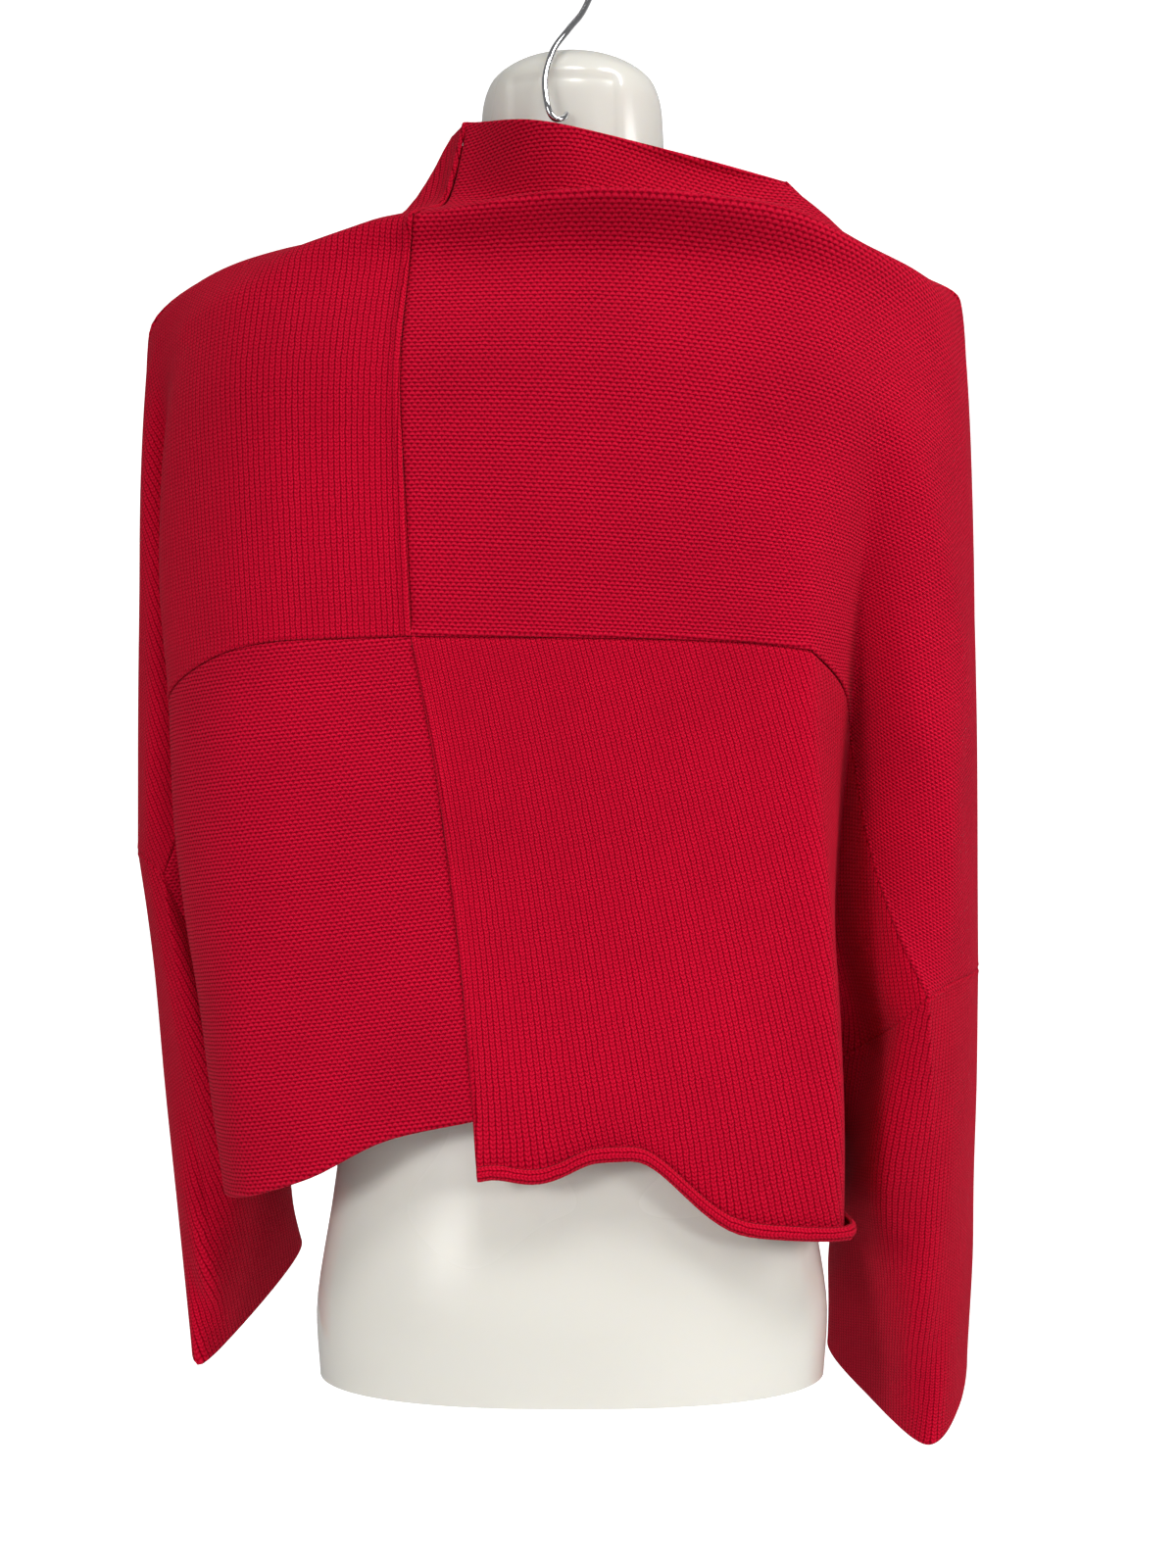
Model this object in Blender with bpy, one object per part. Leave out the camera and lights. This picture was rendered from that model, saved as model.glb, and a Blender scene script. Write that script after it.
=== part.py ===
"""Cropped sweater with a funnel neck, hanging on a limbless torso form.

The origin is the bearing point of the form's hook. +Z is up, and the side that the
tables call the back faces -Y. Tables give millimetres: x, y and the drop below the hook.
"""

import math

import bmesh
import bpy
import numpy as np

MM = 0.001

# ---- driving dimensions, in millimetres -------------------------------------------
WALL = 1.6                # thickness of the knit
SEAM_GAP = 0.8            # clear distance between two panels at a seam
HEM_ROLL_RADIUS = 3.4     # midline radius of the rolled jersey hem
HEM_ROLL_TURN = 262.0     # degrees that the hem rolls outwards
HEM_ROLL_STEPS = 6
HOOK_WIRE = 3.5           # diameter of the chrome wire
HOOK_BEND_RADIUS = 20.0   # inner radius of the hook's bend
FORM_CENTRE = (3.0, 2.0)  # x and y of the form's axis
FORM_SIDES = 40

# how many mesh columns lie between two stations, and mesh rows between two table rows
PANEL_COLUMNS = (3, 2, 2, 2, 2, 2, 2, 2)
UPPER_ROWS = (2, 2, 2, 2, 2, 2)
LOWER_ROWS = (2, 2, 2, 2, 2)
SLEEVE_ROWS = (4, 4, 4)
RING_ROWS = 3             # table rows of a lower panel that end on the sleeve seam
UNDERARM_EASE = 0.3       # how far a sleeve's lowest ring point moves towards its neighbours' mean
NECK_FORK_RIGHT = 2       # station where the right shoulder line leaves the neck edge
NECK_FORK_LEFT = 1        # the same on the left

# distances over the cloth, across from the vertical seam and down from the top
ACROSS_RIGHT = (0, 110, 180, 215, 255, 285, 340, 430, 510)
ACROSS_LEFT = (0, 28, 60, 95, 155, 195, 245, 320, 390)
DOWN_UPPER = (0, 38, 70, 92, 165, 228, 296)
DOWN_LOWER = (0, 62, 122, 187, 232, 280)

# ---- the garment's sections -------------------------------------------------------
# Each row is a course line of the cloth. Columns, each x, y, drop:
# seam, middle, neck side, fold, side, valley, sleeve inner, sleeve middle, sleeve seam
BACK_RIGHT_UPPER = (
    # neck edge, then shoulder line
    ((-56, -20, 127), (1, -67, 143), (124, -8, 157), (172, -12, 201), (203, -8, 211),
     (222, -2, 222), (229, 14, 300), (233, 40, 450), (226, 60, 606)),
    # crease under the neck
    ((-66, -42, 176), (8, -71, 190), (127, -32, 182), (170, -32, 204), (201, -22, 214),
     (220, -8, 226), (229, 4, 304), (234, 24, 452), (233, 38, 603)),
    # top of the roll fold
    ((-80, -93, 196), (26, -111, 184), (112, -101, 192), (158, -79, 208), (192, -50, 218),
     (214, -22, 233), (227, -6, 312), (232, 6, 455), (235, 14, 600)),
    # trough below the roll
    ((-82, -87, 213), (26, -90, 210), (108, -88, 216), (148, -81, 224), (184, -58, 235),
     (206, -38, 248), (222, -26, 325), (228, -22, 460), (230, -12, 599)),
    # shoulder blades
    ((-86, -106, 285), (25, -108, 285), (92, -105, 287), (125, -101, 290), (148, -94, 295),
     (168, -82, 302), (195, -72, 360), (218, -50, 470), (221, -38, 600)),
    ((-83, -108, 350), (25, -109, 350), (92, -106, 350), (127, -102, 352), (148, -88, 358),
     (162, -72, 368), (185, -74, 435), (205, -68, 525), (207, -62, 602)),
    # level seam, then the slanted seam on the sleeve
    ((-80, -106, 418), (25, -106, 419), (92, -104, 421), (128, -102, 425), (150, -68, 446),
     (156, -40, 468), (165, -52, 528), (178, -69, 575), (193, -78, 609)),
)
BACK_RIGHT_LOWER = (
    BACK_RIGHT_UPPER[-1],
    ((-68, -106, 480), (26, -105, 482), (94, -103, 484), (131, -102, 487), (147, -60, 500),
     (152, -26, 525), (161, -42, 572), (172, -57, 604), (181, -66, 622)),
    ((-60, -105, 540), (28, -104, 545), (96, -102, 548), (137, -101, 550), (145, -56, 565),
     (149, -20, 585), (155, -20, 606), (161, -19, 624), (167, -18, 640)),
    # underarm
    ((-52.5, -105, 605), (30, -103, 612), (98, -100, 616), (142, -97, 620), (148, -58, 630),
     (149, -34, 636), (149, -22, 642), (149, -11, 648), (148, 0, 654)),
    ((-48.5, -105, 655), (32, -102, 660), (100, -97, 670), (145, -92, 675), (149.5, -58, 685),
     (149, -36, 690), (148.5, -24, 692), (148, -12, 694), (147, 0, 695)),
    # hem
    ((-45.5, -106, 697), (34, -101, 687), (96, -91, 728), (146, -80, 733), (150, -52, 735),
     (149.5, -35, 736), (149, -23, 736), (148.5, -12, 736), (148, 0, 736)),
)
BACK_LEFT_UPPER = (
    ((-56, -20, 127), (-65, 0, 129), (-92, -22, 180), (-150, -38, 201), (-200, -22, 214),
     (-236, 0, 240), (-243, 26, 310), (-248, 60, 420), (-247, 100, 538)),
    ((-66, -42, 176), (-78, -38, 180), (-102, -46, 193), (-152, -54, 205), (-200, -38, 219),
     (-234, -8, 248), (-243, 14, 318), (-248, 42, 425), (-250, 68, 533)),
    ((-80, -93, 196), (-98, -88, 197), (-120, -83, 202), (-158, -70, 214), (-202, -46, 229),
     (-232, -14, 258), (-242, 4, 330), (-247, 28, 432), (-251, 44, 530)),
    ((-82, -87, 213), (-104, -86, 215), (-130, -85, 220), (-164, -82, 231), (-206, -54, 246),
     (-229, -16, 272), (-240, 0, 345), (-246, 18, 440), (-249, 32, 534)),
    ((-86, -106, 285), (-112, -106, 286), (-142, -103, 288), (-171, -95, 294), (-220, -42, 310),
     (-222, 0, 325), (-233, -2, 385), (-242, 10, 455), (-246, 22, 534)),
    ((-83, -108, 350), (-112, -108, 350), (-143, -105, 352), (-173, -95, 358), (-224, -34, 380),
     (-213, 8, 400), (-228, -1, 448), (-237, 4, 498), (-240, 12, 538)),
    ((-80, -106, 418), (-112, -106, 419), (-144, -104, 420), (-173, -94, 424), (-219, -32, 450),
     (-203, 14, 468), (-217, 8, 503), (-224, 5, 530), (-230, 6, 547)),
)
BACK_LEFT_LOWER = (
    BACK_LEFT_UPPER[-1],
    ((-68, -106, 480), (-106, -106, 483), (-142, -103, 487), (-173, -93, 492), (-217, -30, 508),
     (-196, 20, 525), (-207, 16, 550), (-213, 13, 565), (-218, 11, 575)),
    ((-60, -105, 540), (-102, -104, 545), (-140, -101, 550), (-173, -91, 556), (-210, -31, 568),
     (-186, 13, 578), (-191, 14, 587), (-195, 15, 593), (-199, 17, 598)),
    ((-52.5, -105, 605), (-100, -103, 606), (-138, -99, 610), (-173, -90, 614), (-201, -34, 618),
     (-183, -2, 614), (-179, 12, 614), (-175, 25, 615), (-172, 36, 616)),
    ((-50.3, -105, 635), (-97, -101, 640), (-136, -97, 650), (-172, -88, 660), (-194, -37, 668),
     (-178, -6, 671), (-173, 8, 672), (-168, 21, 672), (-164, 32, 672)),
    ((-47.7, -105.5, 668), (-92, -102, 678), (-134, -97, 699), (-168, -84, 711), (-186, -43, 717),
     (-174, -12, 719), (-170, 2, 719), (-166, 15, 719), (-162, 27, 719)),
)
FRONT_RIGHT_UPPER = (
    ((-58, 22, 134), (2, 62, 158), *BACK_RIGHT_UPPER[0][2:]),
    ((-64, 42, 168), (8, 76, 190), (128, 14, 184), (172, 8, 206), (203, 4, 215),
     (222, 6, 227), (228, 24, 304), (230, 54, 456), (216, 70, 613)),
    ((-74, 68, 190), (20, 92, 198), (122, 48, 202), (168, 32, 214), (200, 20, 221),
     (219, 14, 234), (224, 34, 314), (225, 66, 462), (204, 79, 620)),
    ((-80, 82, 212), (26, 94, 220), (112, 74, 222), (160, 54, 230), (192, 38, 238),
     (212, 26, 250), (217, 46, 330), (216, 76, 478), (194, 82, 626)),
    ((-85, 98, 285), (28, 106, 287), (98, 97, 289), (134, 86, 294), (158, 74, 300),
     (178, 64, 308), (200, 64, 380), (201, 82, 510), (184, 79, 630)),
    ((-83, 103, 350), (28, 110, 352), (98, 100, 354), (132, 86, 358), (150, 70, 364),
     (163, 56, 375), (182, 64, 440), (187, 78, 545), (176, 71, 635)),
    ((-80, 102, 418), (28, 110, 420), (98, 100, 422), (131, 86, 428), (147, 60, 442),
     (156, 38, 468), (166, 50, 540), (170, 58, 600), (168, 58, 640)),
)
FRONT_RIGHT_LOWER = (
    FRONT_RIGHT_UPPER[-1],
    ((-68, 100, 480), (28, 108, 484), (98, 99, 486), (132, 84, 490), (146, 52, 505),
     (152, 25, 528), (159, 36, 582), (162, 43, 617), (160, 43, 645)),
    ((-60, 98, 540), (28, 106, 545), (98, 97, 548), (134, 82, 552), (146, 46, 566),
     (149, 20, 588), (155, 21, 616), (160, 21, 636), (164, 20, 649)),
    ((-52.5, 97, 605), (30, 104, 612), (98, 95, 615), (137, 78, 620), (148, 50, 630),
     (149, 32, 636), (149, 21, 642), (149, 10.5, 648), (148, 0, 654)),
    ((-48.5, 96, 655), (32, 102, 662), (99, 93, 668), (140, 74, 674), (149.5, 48, 684),
     (149, 34, 690), (148.5, 23, 692), (148, 12, 694), (147, 0, 695)),
    ((-45.5, 95, 697), (34, 100, 710), (98, 90, 724), (139, 66, 733), (147, 44, 736),
     (148, 33, 736), (148, 22, 736), (148, 11, 736), (148, 0, 736)),
)
FRONT_LEFT_UPPER = (
    ((-58, 22, 134), *BACK_LEFT_UPPER[0][1:]),
    ((-64, 42, 168), (-76, 22, 172), (-98, 8, 192), (-150, -4, 206), (-198, 2, 219),
     (-234, 16, 248), (-240, 44, 320), (-243, 80, 430), (-240, 116, 546)),
    ((-74, 68, 190), (-90, 52, 196), (-112, 38, 204), (-156, 24, 215), (-200, 22, 228),
     (-231, 32, 258), (-234, 60, 334), (-235, 96, 442), (-230, 130, 555)),
    ((-80, 82, 212), (-102, 74, 217), (-126, 64, 223), (-162, 50, 233), (-200, 42, 246),
     (-224, 46, 272), (-228, 72, 350), (-224, 108, 458), (-218, 136, 564)),
    ((-85, 98, 285), (-112, 96, 287), (-140, 90, 291), (-168, 78, 298), (-190, 66, 310),
     (-204, 62, 325), (-216, 84, 400), (-211, 112, 500), (-206, 132, 578)),
    ((-83, 103, 350), (-112, 101, 352), (-142, 92, 356), (-168, 76, 362), (-184, 63, 374),
     (-195, 54, 390), (-205, 80, 460), (-204, 104, 540), (-198, 124, 588)),
    ((-80, 102, 418), (-112, 100, 420), (-141, 90, 423), (-164, 74, 428), (-178, 59, 442),
     (-187, 44, 466), (-196, 68, 520), (-196, 92, 568), (-190, 110, 597)),
)
FRONT_LEFT_LOWER = (
    FRONT_LEFT_UPPER[-1],
    ((-68, 100, 480), (-106, 98, 484), (-139, 88, 487), (-160, 72, 492), (-173, 57, 505),
     (-182, 42, 528), (-188, 57, 560), (-187, 73, 586), (-182, 88, 606)),
    ((-60, 98, 540), (-102, 96, 545), (-136, 86, 549), (-157, 70, 555), (-168, 55, 566),
     (-176, 46, 584), (-181, 46, 593), (-186, 47, 600), (-190, 48, 606)),
    ((-52.5, 97, 605), (-98, 94, 607), (-132, 85, 610), (-152, 71, 613), (-162, 59, 616),
     (-166, 54, 616), (-169, 48, 616), (-171, 42, 616), (-172, 36, 616)),
    ((-50.3, 96, 635), (-94, 92, 645), (-126, 83, 656), (-146, 68, 664), (-156, 55, 670),
     (-160, 47, 672), (-162, 42, 672), (-163, 37, 672), (-164, 32, 672)),
    ((-47.7, 95.5, 668), (-90, 92, 688), (-121, 81, 704), (-142, 64, 714), (-153, 50, 718),
     (-158, 42, 719), (-160, 37, 719), (-161, 32, 719), (-162, 27, 719)),
)
# Sleeve sections below the sleeve seam. Columns, each x, y, drop:
# inner, inner back, back ridge, outer back, outer, outer front, front, inner front
SLEEVE_RIGHT = (
    ((162, 26, 712), (165, -9, 708), (175, -45, 703), (212, -36, 692), (238, 38, 684),
     (229, 88, 690), (195, 108, 700), (165, 76, 708)),
    ((160, 72, 786), (174, 28, 788), (196, -12, 786), (220, 22, 770), (241, 72, 756),
     (231, 112, 754), (197, 130, 764), (164, 110, 776)),
    ((161, 112, 842), (180, 60, 858), (205, 12, 871), (226, 48, 856), (241, 92, 836),
     (232, 124, 830), (203, 140, 830), (174, 135, 834)),
)
SLEEVE_LEFT = (
    ((-176, 62, 690), (-186, 28, 690), (-198, 0, 684), (-220, 12, 668), (-238, 48, 655),
     (-236, 98, 655), (-212, 134, 668), (-178, 112, 682)),
    ((-170, 90, 752), (-184, 46, 762), (-204, 6, 766), (-220, 20, 756), (-230, 58, 742),
     (-228, 106, 734), (-206, 136, 736), (-178, 126, 742)),
    ((-167, 120, 783), (-185, 70, 806), (-209, 11, 825), (-219, 38, 815), (-225, 74, 800),
     (-222, 114, 788), (-202, 142, 780), (-179, 144, 778)),
)
# The torso form. Columns: drop, half width, half depth, squareness of the section
FORM_SECTIONS = (
    (83.3, 6, 6, 2.0), (85, 20, 20, 2.0), (91, 36, 36, 2.0), (101, 47, 46, 2.0),
    (116, 51, 50, 2.0), (140, 52, 49, 2.0), (165, 52, 46, 2.0), (184, 60, 50, 2.0),
    (198, 84, 58, 2.0), (207, 122, 62, 2.1), (216, 160, 67, 2.2), (228, 184, 74, 2.3),
    (250, 198, 84, 2.4), (290, 196, 92, 2.4), (350, 176, 95, 2.4), (418, 156, 94, 2.4),
    (500, 145, 88, 2.4), (590, 136, 81, 2.4), (655, 127, 77, 2.4), (720, 134, 82, 2.4),
    (790, 144, 90, 2.4), (825, 142, 89, 2.4),
)
# The hook's wire, from the neck up to the start of its bend. Columns: x, y, drop
HOOK_ROUTE = (
    (0.5, -49.8, 130.5), (-1.5, -54, 134), (-5.3, -57.3, 135.5), (-9.4, -58, 130),
    (-11.4, -54, 114.6), (-7.8, -48, 97), (1.2, -37, 80), (8.2, -24, 67), (13, -11, 53),
    (18.5, -3, 37),
)

COLOURS = {
    "jersey": (0.42, 0.004, 0.022, 1.0),
    "purl": (0.36, 0.003, 0.018, 1.0),
    "form": (0.78, 0.76, 0.66, 1.0),
    "chrome": (0.8, 0.8, 0.82, 1.0),
}


def point(x, y, drop):
    """A table entry as a place, in millimetres with z up."""
    return np.array((x, y, -drop), dtype=float)


def slopes(knots, values):
    """Slopes at the knots of a smooth curve that never overshoots its points."""
    steps = np.diff(knots)[:, None]
    rises = np.diff(values, axis=0) / steps
    result = np.zeros_like(values)
    before, after = rises[:-1], rises[1:]
    wide, narrow = 2 * steps[1:] + steps[:-1], steps[1:] + 2 * steps[:-1]
    same_way = before * after > 0
    safe_before = np.where(same_way, before, 1.0)
    safe_after = np.where(same_way, after, 1.0)
    mean = (wide + narrow) / (wide / safe_before + narrow / safe_after)
    result[1:-1] = np.where(same_way, mean, 0.0)
    result[0] = rises[0]
    result[-1] = rises[-1]
    return result


def along(knots, values, places, forks=()):
    """Values of the smooth curves through (knots, values), read at the places. forks
    gives (knot, line) pairs where a line of the values has a corner."""
    count = len(knots)
    flat = values.reshape(count, -1)
    arriving = slopes(knots, flat).reshape(values.shape)
    leaving = arriving.copy()
    for knot, line in forks:
        arriving[knot, line] = (values[knot, line] - values[knot - 1, line]) / (knots[knot] - knots[knot - 1])
        leaving[knot, line] = (values[knot + 1, line] - values[knot, line]) / (knots[knot + 1] - knots[knot])
    arriving, leaving = arriving.reshape(count, -1), leaving.reshape(count, -1)
    which = np.clip(np.searchsorted(knots, places, side="right") - 1, 0, count - 2)
    step = (knots[which + 1] - knots[which])[:, None]
    t = ((places - knots[which])[:, None]) / step
    curve = (
        (2 * t**3 - 3 * t**2 + 1) * flat[which]
        + (t**3 - 2 * t**2 + t) * step * leaving[which]
        + (3 * t**2 - 2 * t**3) * flat[which + 1]
        + (t**3 - t**2) * step * arriving[which + 1]
    )
    return curve.reshape((len(places),) + values.shape[1:])


def places_between(knots, counts):
    """Sample places: counts[i] even steps between knots i and i + 1."""
    runs = [np.linspace(knots[i], knots[i + 1], n, endpoint=False) for i, n in enumerate(counts)]
    return np.append(np.concatenate(runs), knots[-1])


def chords(stations, axis):
    """Knots from the mean distance between neighbouring rows or columns of stations."""
    lengths = np.linalg.norm(np.diff(stations, axis=axis), axis=2)
    return np.append(0.0, np.cumsum(lengths.mean(axis=1 - axis)))


def panel_grid(table, down, row_counts, across, top_fork, end_fork):
    """Midline points of a panel, one row for each course line that is sampled. The forks
    are the station of the top row and the row of the last column where two seams part."""
    stations = np.array([[point(*entry) for entry in row] for row in table])
    row_knots = np.array(down, dtype=float)
    column_knots = np.array(across, dtype=float)
    down_places = places_between(row_knots, row_counts)
    across_places = places_between(column_knots, PANEL_COLUMNS)
    down_forks = [(end_fork, -1)] if end_fork else []
    across_forks = [(top_fork, 0)] if top_fork else []
    rows = along(row_knots, stations, down_places, down_forks).transpose(1, 0, 2)
    return along(column_knots, rows, across_places, across_forks).transpose(1, 0, 2)


def closed_section(entries):
    """A closed smooth section through its entries, as (fractions, points)."""
    corners = np.array([point(*entry) for entry in entries])
    samples = []
    for i in range(len(corners)):
        a, b, c, d = (corners[(i + k) % len(corners)] for k in (-1, 0, 1, 2))
        for t in np.linspace(0, 1, 8, endpoint=False):
            samples.append(0.5 * (2 * b + (c - a) * t + (2 * a - 5 * b + 4 * c - d) * t**2
                                  + (3 * b - a - 3 * c + d) * t**3))
    samples.append(samples[0])
    samples = np.array(samples)
    lengths = np.append(0.0, np.cumsum(np.linalg.norm(np.diff(samples, axis=0), axis=1)))
    return lengths / lengths[-1], samples


def read_section(section, fractions):
    """Points of a closed section at fractions of its length."""
    lengths, samples = section
    return np.stack([np.interp(fractions, lengths, samples[:, k]) for k in range(3)], axis=1)


def sleeve_grid(ring, table, row_counts):
    """Midline points of a sleeve, from the seam ring down to the cuff. The last column
    repeats the first."""
    loop = np.vstack([ring, ring[:1]])
    lengths = np.append(0.0, np.cumsum(np.linalg.norm(np.diff(loop, axis=0), axis=1)))
    fractions = lengths / lengths[-1]
    sections = [loop] + [read_section(closed_section(row), fractions) for row in table]
    stations = np.array(sections)
    knots = chords(stations, 0)
    return along(knots, stations, places_between(knots, row_counts))


def grid_normals(grid, sign, closed=False):
    """Unit normals of a grid of points, the mean of the facets round each point; sign
    turns them outwards."""
    first = np.cross(grid[:-1, 1:] - grid[:-1, :-1], grid[1:, :-1] - grid[:-1, :-1])
    second = np.cross(grid[1:, 1:] - grid[1:, :-1], grid[1:, 1:] - grid[:-1, 1:])
    facets = first / np.linalg.norm(first, axis=2, keepdims=True)
    facets += second / np.linalg.norm(second, axis=2, keepdims=True)
    facets *= sign / np.linalg.norm(facets, axis=2, keepdims=True)
    normals = np.zeros_like(grid)
    for rows in (slice(None, -1), slice(1, None)):
        for columns in (slice(None, -1), slice(1, None)):
            normals[rows, columns] += facets
    if closed:
        normals[:, 0] += normals[:, -1]
        normals[:, -1] = normals[:, 0]
    return normals / np.linalg.norm(normals, axis=2, keepdims=True)


def share_normals(panels):
    """Where edges of panels meet, all take the mean of their normals."""
    sums = {}
    for panel in panels:
        for place, normal in zip(panel["grid"].reshape(-1, 3), panel["normals"].reshape(-1, 3)):
            key = tuple(np.round(place, 2))
            sums[key] = sums.get(key, 0) + normal
    for panel in panels:
        shape = panel["grid"].shape
        mean = np.array([sums[tuple(np.round(place, 2))] for place in panel["grid"].reshape(-1, 3)])
        panel["normals"] = (mean / np.linalg.norm(mean, axis=1, keepdims=True)).reshape(shape)


def draw_in(grid, closed=False):
    """The grid with each edge drawn in by half of the seam gap."""
    result = grid.copy()

    def pull(edge, inner):
        tangent = np.gradient(edge, axis=0)
        tangent /= np.linalg.norm(tangent, axis=1, keepdims=True)
        way = inner - edge
        way -= tangent * (way * tangent).sum(axis=1, keepdims=True)
        return SEAM_GAP / 2 * way / np.linalg.norm(way, axis=1, keepdims=True)

    result[0] += pull(grid[0], grid[1])
    result[-1] += pull(grid[-1], grid[-2])
    if not closed:
        result[:, 0] += pull(grid[:, 0], grid[:, 1])
        result[:, -1] += pull(grid[:, -1], grid[:, -2])
    return result


def roll_hem(grid, normals):
    """Rows added below the hem, rolled outwards round a small radius."""
    down = grid[-1] - grid[-2]
    down /= np.linalg.norm(down, axis=1, keepdims=True)
    out = normals[-1]
    rows, turned = [], []
    for i in range(1, HEM_ROLL_STEPS + 1):
        angle = math.radians(HEM_ROLL_TURN * i / HEM_ROLL_STEPS)
        rows.append(grid[-1] + HEM_ROLL_RADIUS * (math.sin(angle) * down + (1 - math.cos(angle)) * out))
        turned.append(math.cos(angle) * out - math.sin(angle) * down)
    return np.vstack([grid, rows]), np.vstack([normals, turned])


def material(name, colour, roughness, metallic):
    made = bpy.data.materials.new(name)
    made.use_nodes = True
    shader = made.node_tree.nodes["Principled BSDF"]
    shader.inputs["Base Color"].default_value = colour
    shader.inputs["Roughness"].default_value = roughness
    shader.inputs["Metallic"].default_value = metallic
    return made


def add_object(name, points, faces, finish):
    mesh = bpy.data.meshes.new(name)
    mesh.from_pydata([tuple(place * MM) for place in points], [], faces)
    mesh.materials.append(finish)
    mesh.shade_smooth()
    mesh.set_sharp_from_angle(angle=math.radians(50))
    made = bpy.data.objects.new(name, mesh)
    bpy.context.collection.objects.link(made)
    return made


def wall_faces(rows, columns, closed, flip):
    """Quads of a thick sheet: outer side, inner side and rims. Inner points follow outer ones."""
    count = rows * columns
    spans = columns if closed else columns - 1

    def at(i, j, side):
        return side * count + i * columns + j % columns

    faces = []
    for i in range(rows - 1):
        for j in range(spans):
            faces.append((at(i, j, 0), at(i + 1, j, 0), at(i + 1, j + 1, 0), at(i, j + 1, 0)))
            faces.append((at(i, j, 1), at(i, j + 1, 1), at(i + 1, j + 1, 1), at(i + 1, j, 1)))
    for j in range(spans):
        faces.append((at(0, j, 0), at(0, j + 1, 0), at(0, j + 1, 1), at(0, j, 1)))
        last = rows - 1
        faces.append((at(last, j, 0), at(last, j, 1), at(last, j + 1, 1), at(last, j + 1, 0)))
    if not closed:
        last = columns - 1
        for i in range(rows - 1):
            faces.append((at(i, 0, 0), at(i, 0, 1), at(i + 1, 0, 1), at(i + 1, 0, 0)))
            faces.append((at(i, last, 0), at(i + 1, last, 0), at(i + 1, last, 1), at(i, last, 1)))
    return [face[::-1] for face in faces] if flip else faces


def add_wall(panel, finish):
    """The solid of one cut piece of cloth, WALL thick round its midline."""
    grid, normals = panel["grid"], panel["normals"]
    closed = panel["closed"]
    drawn = draw_in(grid, closed)
    if panel["rolled"]:
        drawn, normals = roll_hem(drawn, normals)
    if closed:
        drawn, normals = drawn[:, :-1], normals[:, :-1]
    rows, columns = drawn.shape[:2]
    outer = (drawn + normals * WALL / 2).reshape(-1, 3)
    inner = (drawn - normals * WALL / 2).reshape(-1, 3)
    faces = wall_faces(rows, columns, closed, panel["sign"] > 0)
    return add_object(panel["name"], np.vstack([outer, inner]), faces, finish)


def make_panel(name, table, half, across, sign, top_fork=0, rolled=False):
    down, row_counts, end_fork = half
    grid = panel_grid(table, down, row_counts, across, top_fork, end_fork)
    return {"name": name, "grid": grid, "normals": grid_normals(grid, sign), "sign": sign,
            "closed": False, "rolled": rolled}


def make_sleeve(name, parts, table, sign):
    """A sleeve that starts on the end columns of its four panels. It stops just short of the
    underarm point, where the side seam ends."""
    back_upper, back_lower, front_upper, front_lower = (part["grid"][:, -1] for part in parts)
    underarm = sum(LOWER_ROWS[:RING_ROWS])
    ring = np.vstack([
        back_lower[underarm:0:-1],
        back_upper[:0:-1],
        front_upper[:-1],
        front_lower[:underarm],
    ])
    ring[0] += UNDERARM_EASE * ((ring[1] + ring[-1]) / 2 - ring[0])
    grid = sleeve_grid(ring, table, SLEEVE_ROWS)
    return {"name": name, "grid": grid, "normals": grid_normals(grid, sign, closed=True),
            "sign": sign, "closed": True, "rolled": False}


def build_garment(finishes):
    upper = (DOWN_UPPER, UPPER_ROWS, 0)
    lower = (DOWN_LOWER, LOWER_ROWS, RING_ROWS)
    right = [
        make_panel("back_upper_right", BACK_RIGHT_UPPER, upper, ACROSS_RIGHT, -1, NECK_FORK_RIGHT),
        make_panel("back_lower_right", BACK_RIGHT_LOWER, lower, ACROSS_RIGHT, -1, rolled=True),
        make_panel("front_upper_right", FRONT_RIGHT_UPPER, upper, ACROSS_RIGHT, 1, NECK_FORK_RIGHT),
        make_panel("front_lower_right", FRONT_RIGHT_LOWER, lower, ACROSS_RIGHT, 1, rolled=True),
    ]
    left = [
        make_panel("back_upper_left", BACK_LEFT_UPPER, upper, ACROSS_LEFT, 1, NECK_FORK_LEFT),
        make_panel("back_lower_left", BACK_LEFT_LOWER, lower, ACROSS_LEFT, 1),
        make_panel("front_upper_left", FRONT_LEFT_UPPER, upper, ACROSS_LEFT, -1, NECK_FORK_LEFT),
        make_panel("front_lower_left", FRONT_LEFT_LOWER, lower, ACROSS_LEFT, -1),
    ]
    sleeves = [
        make_sleeve("sleeve_right", right, SLEEVE_RIGHT, -1),
        make_sleeve("sleeve_left", left, SLEEVE_LEFT, 1),
    ]
    share_normals(right + left + sleeves)
    purl = {"back_upper_right", "back_lower_left", "front_upper_right", "front_lower_left"}
    for panel in right + left + sleeves:
        add_wall(panel, finishes["purl" if panel["name"] in purl else "jersey"])


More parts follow.
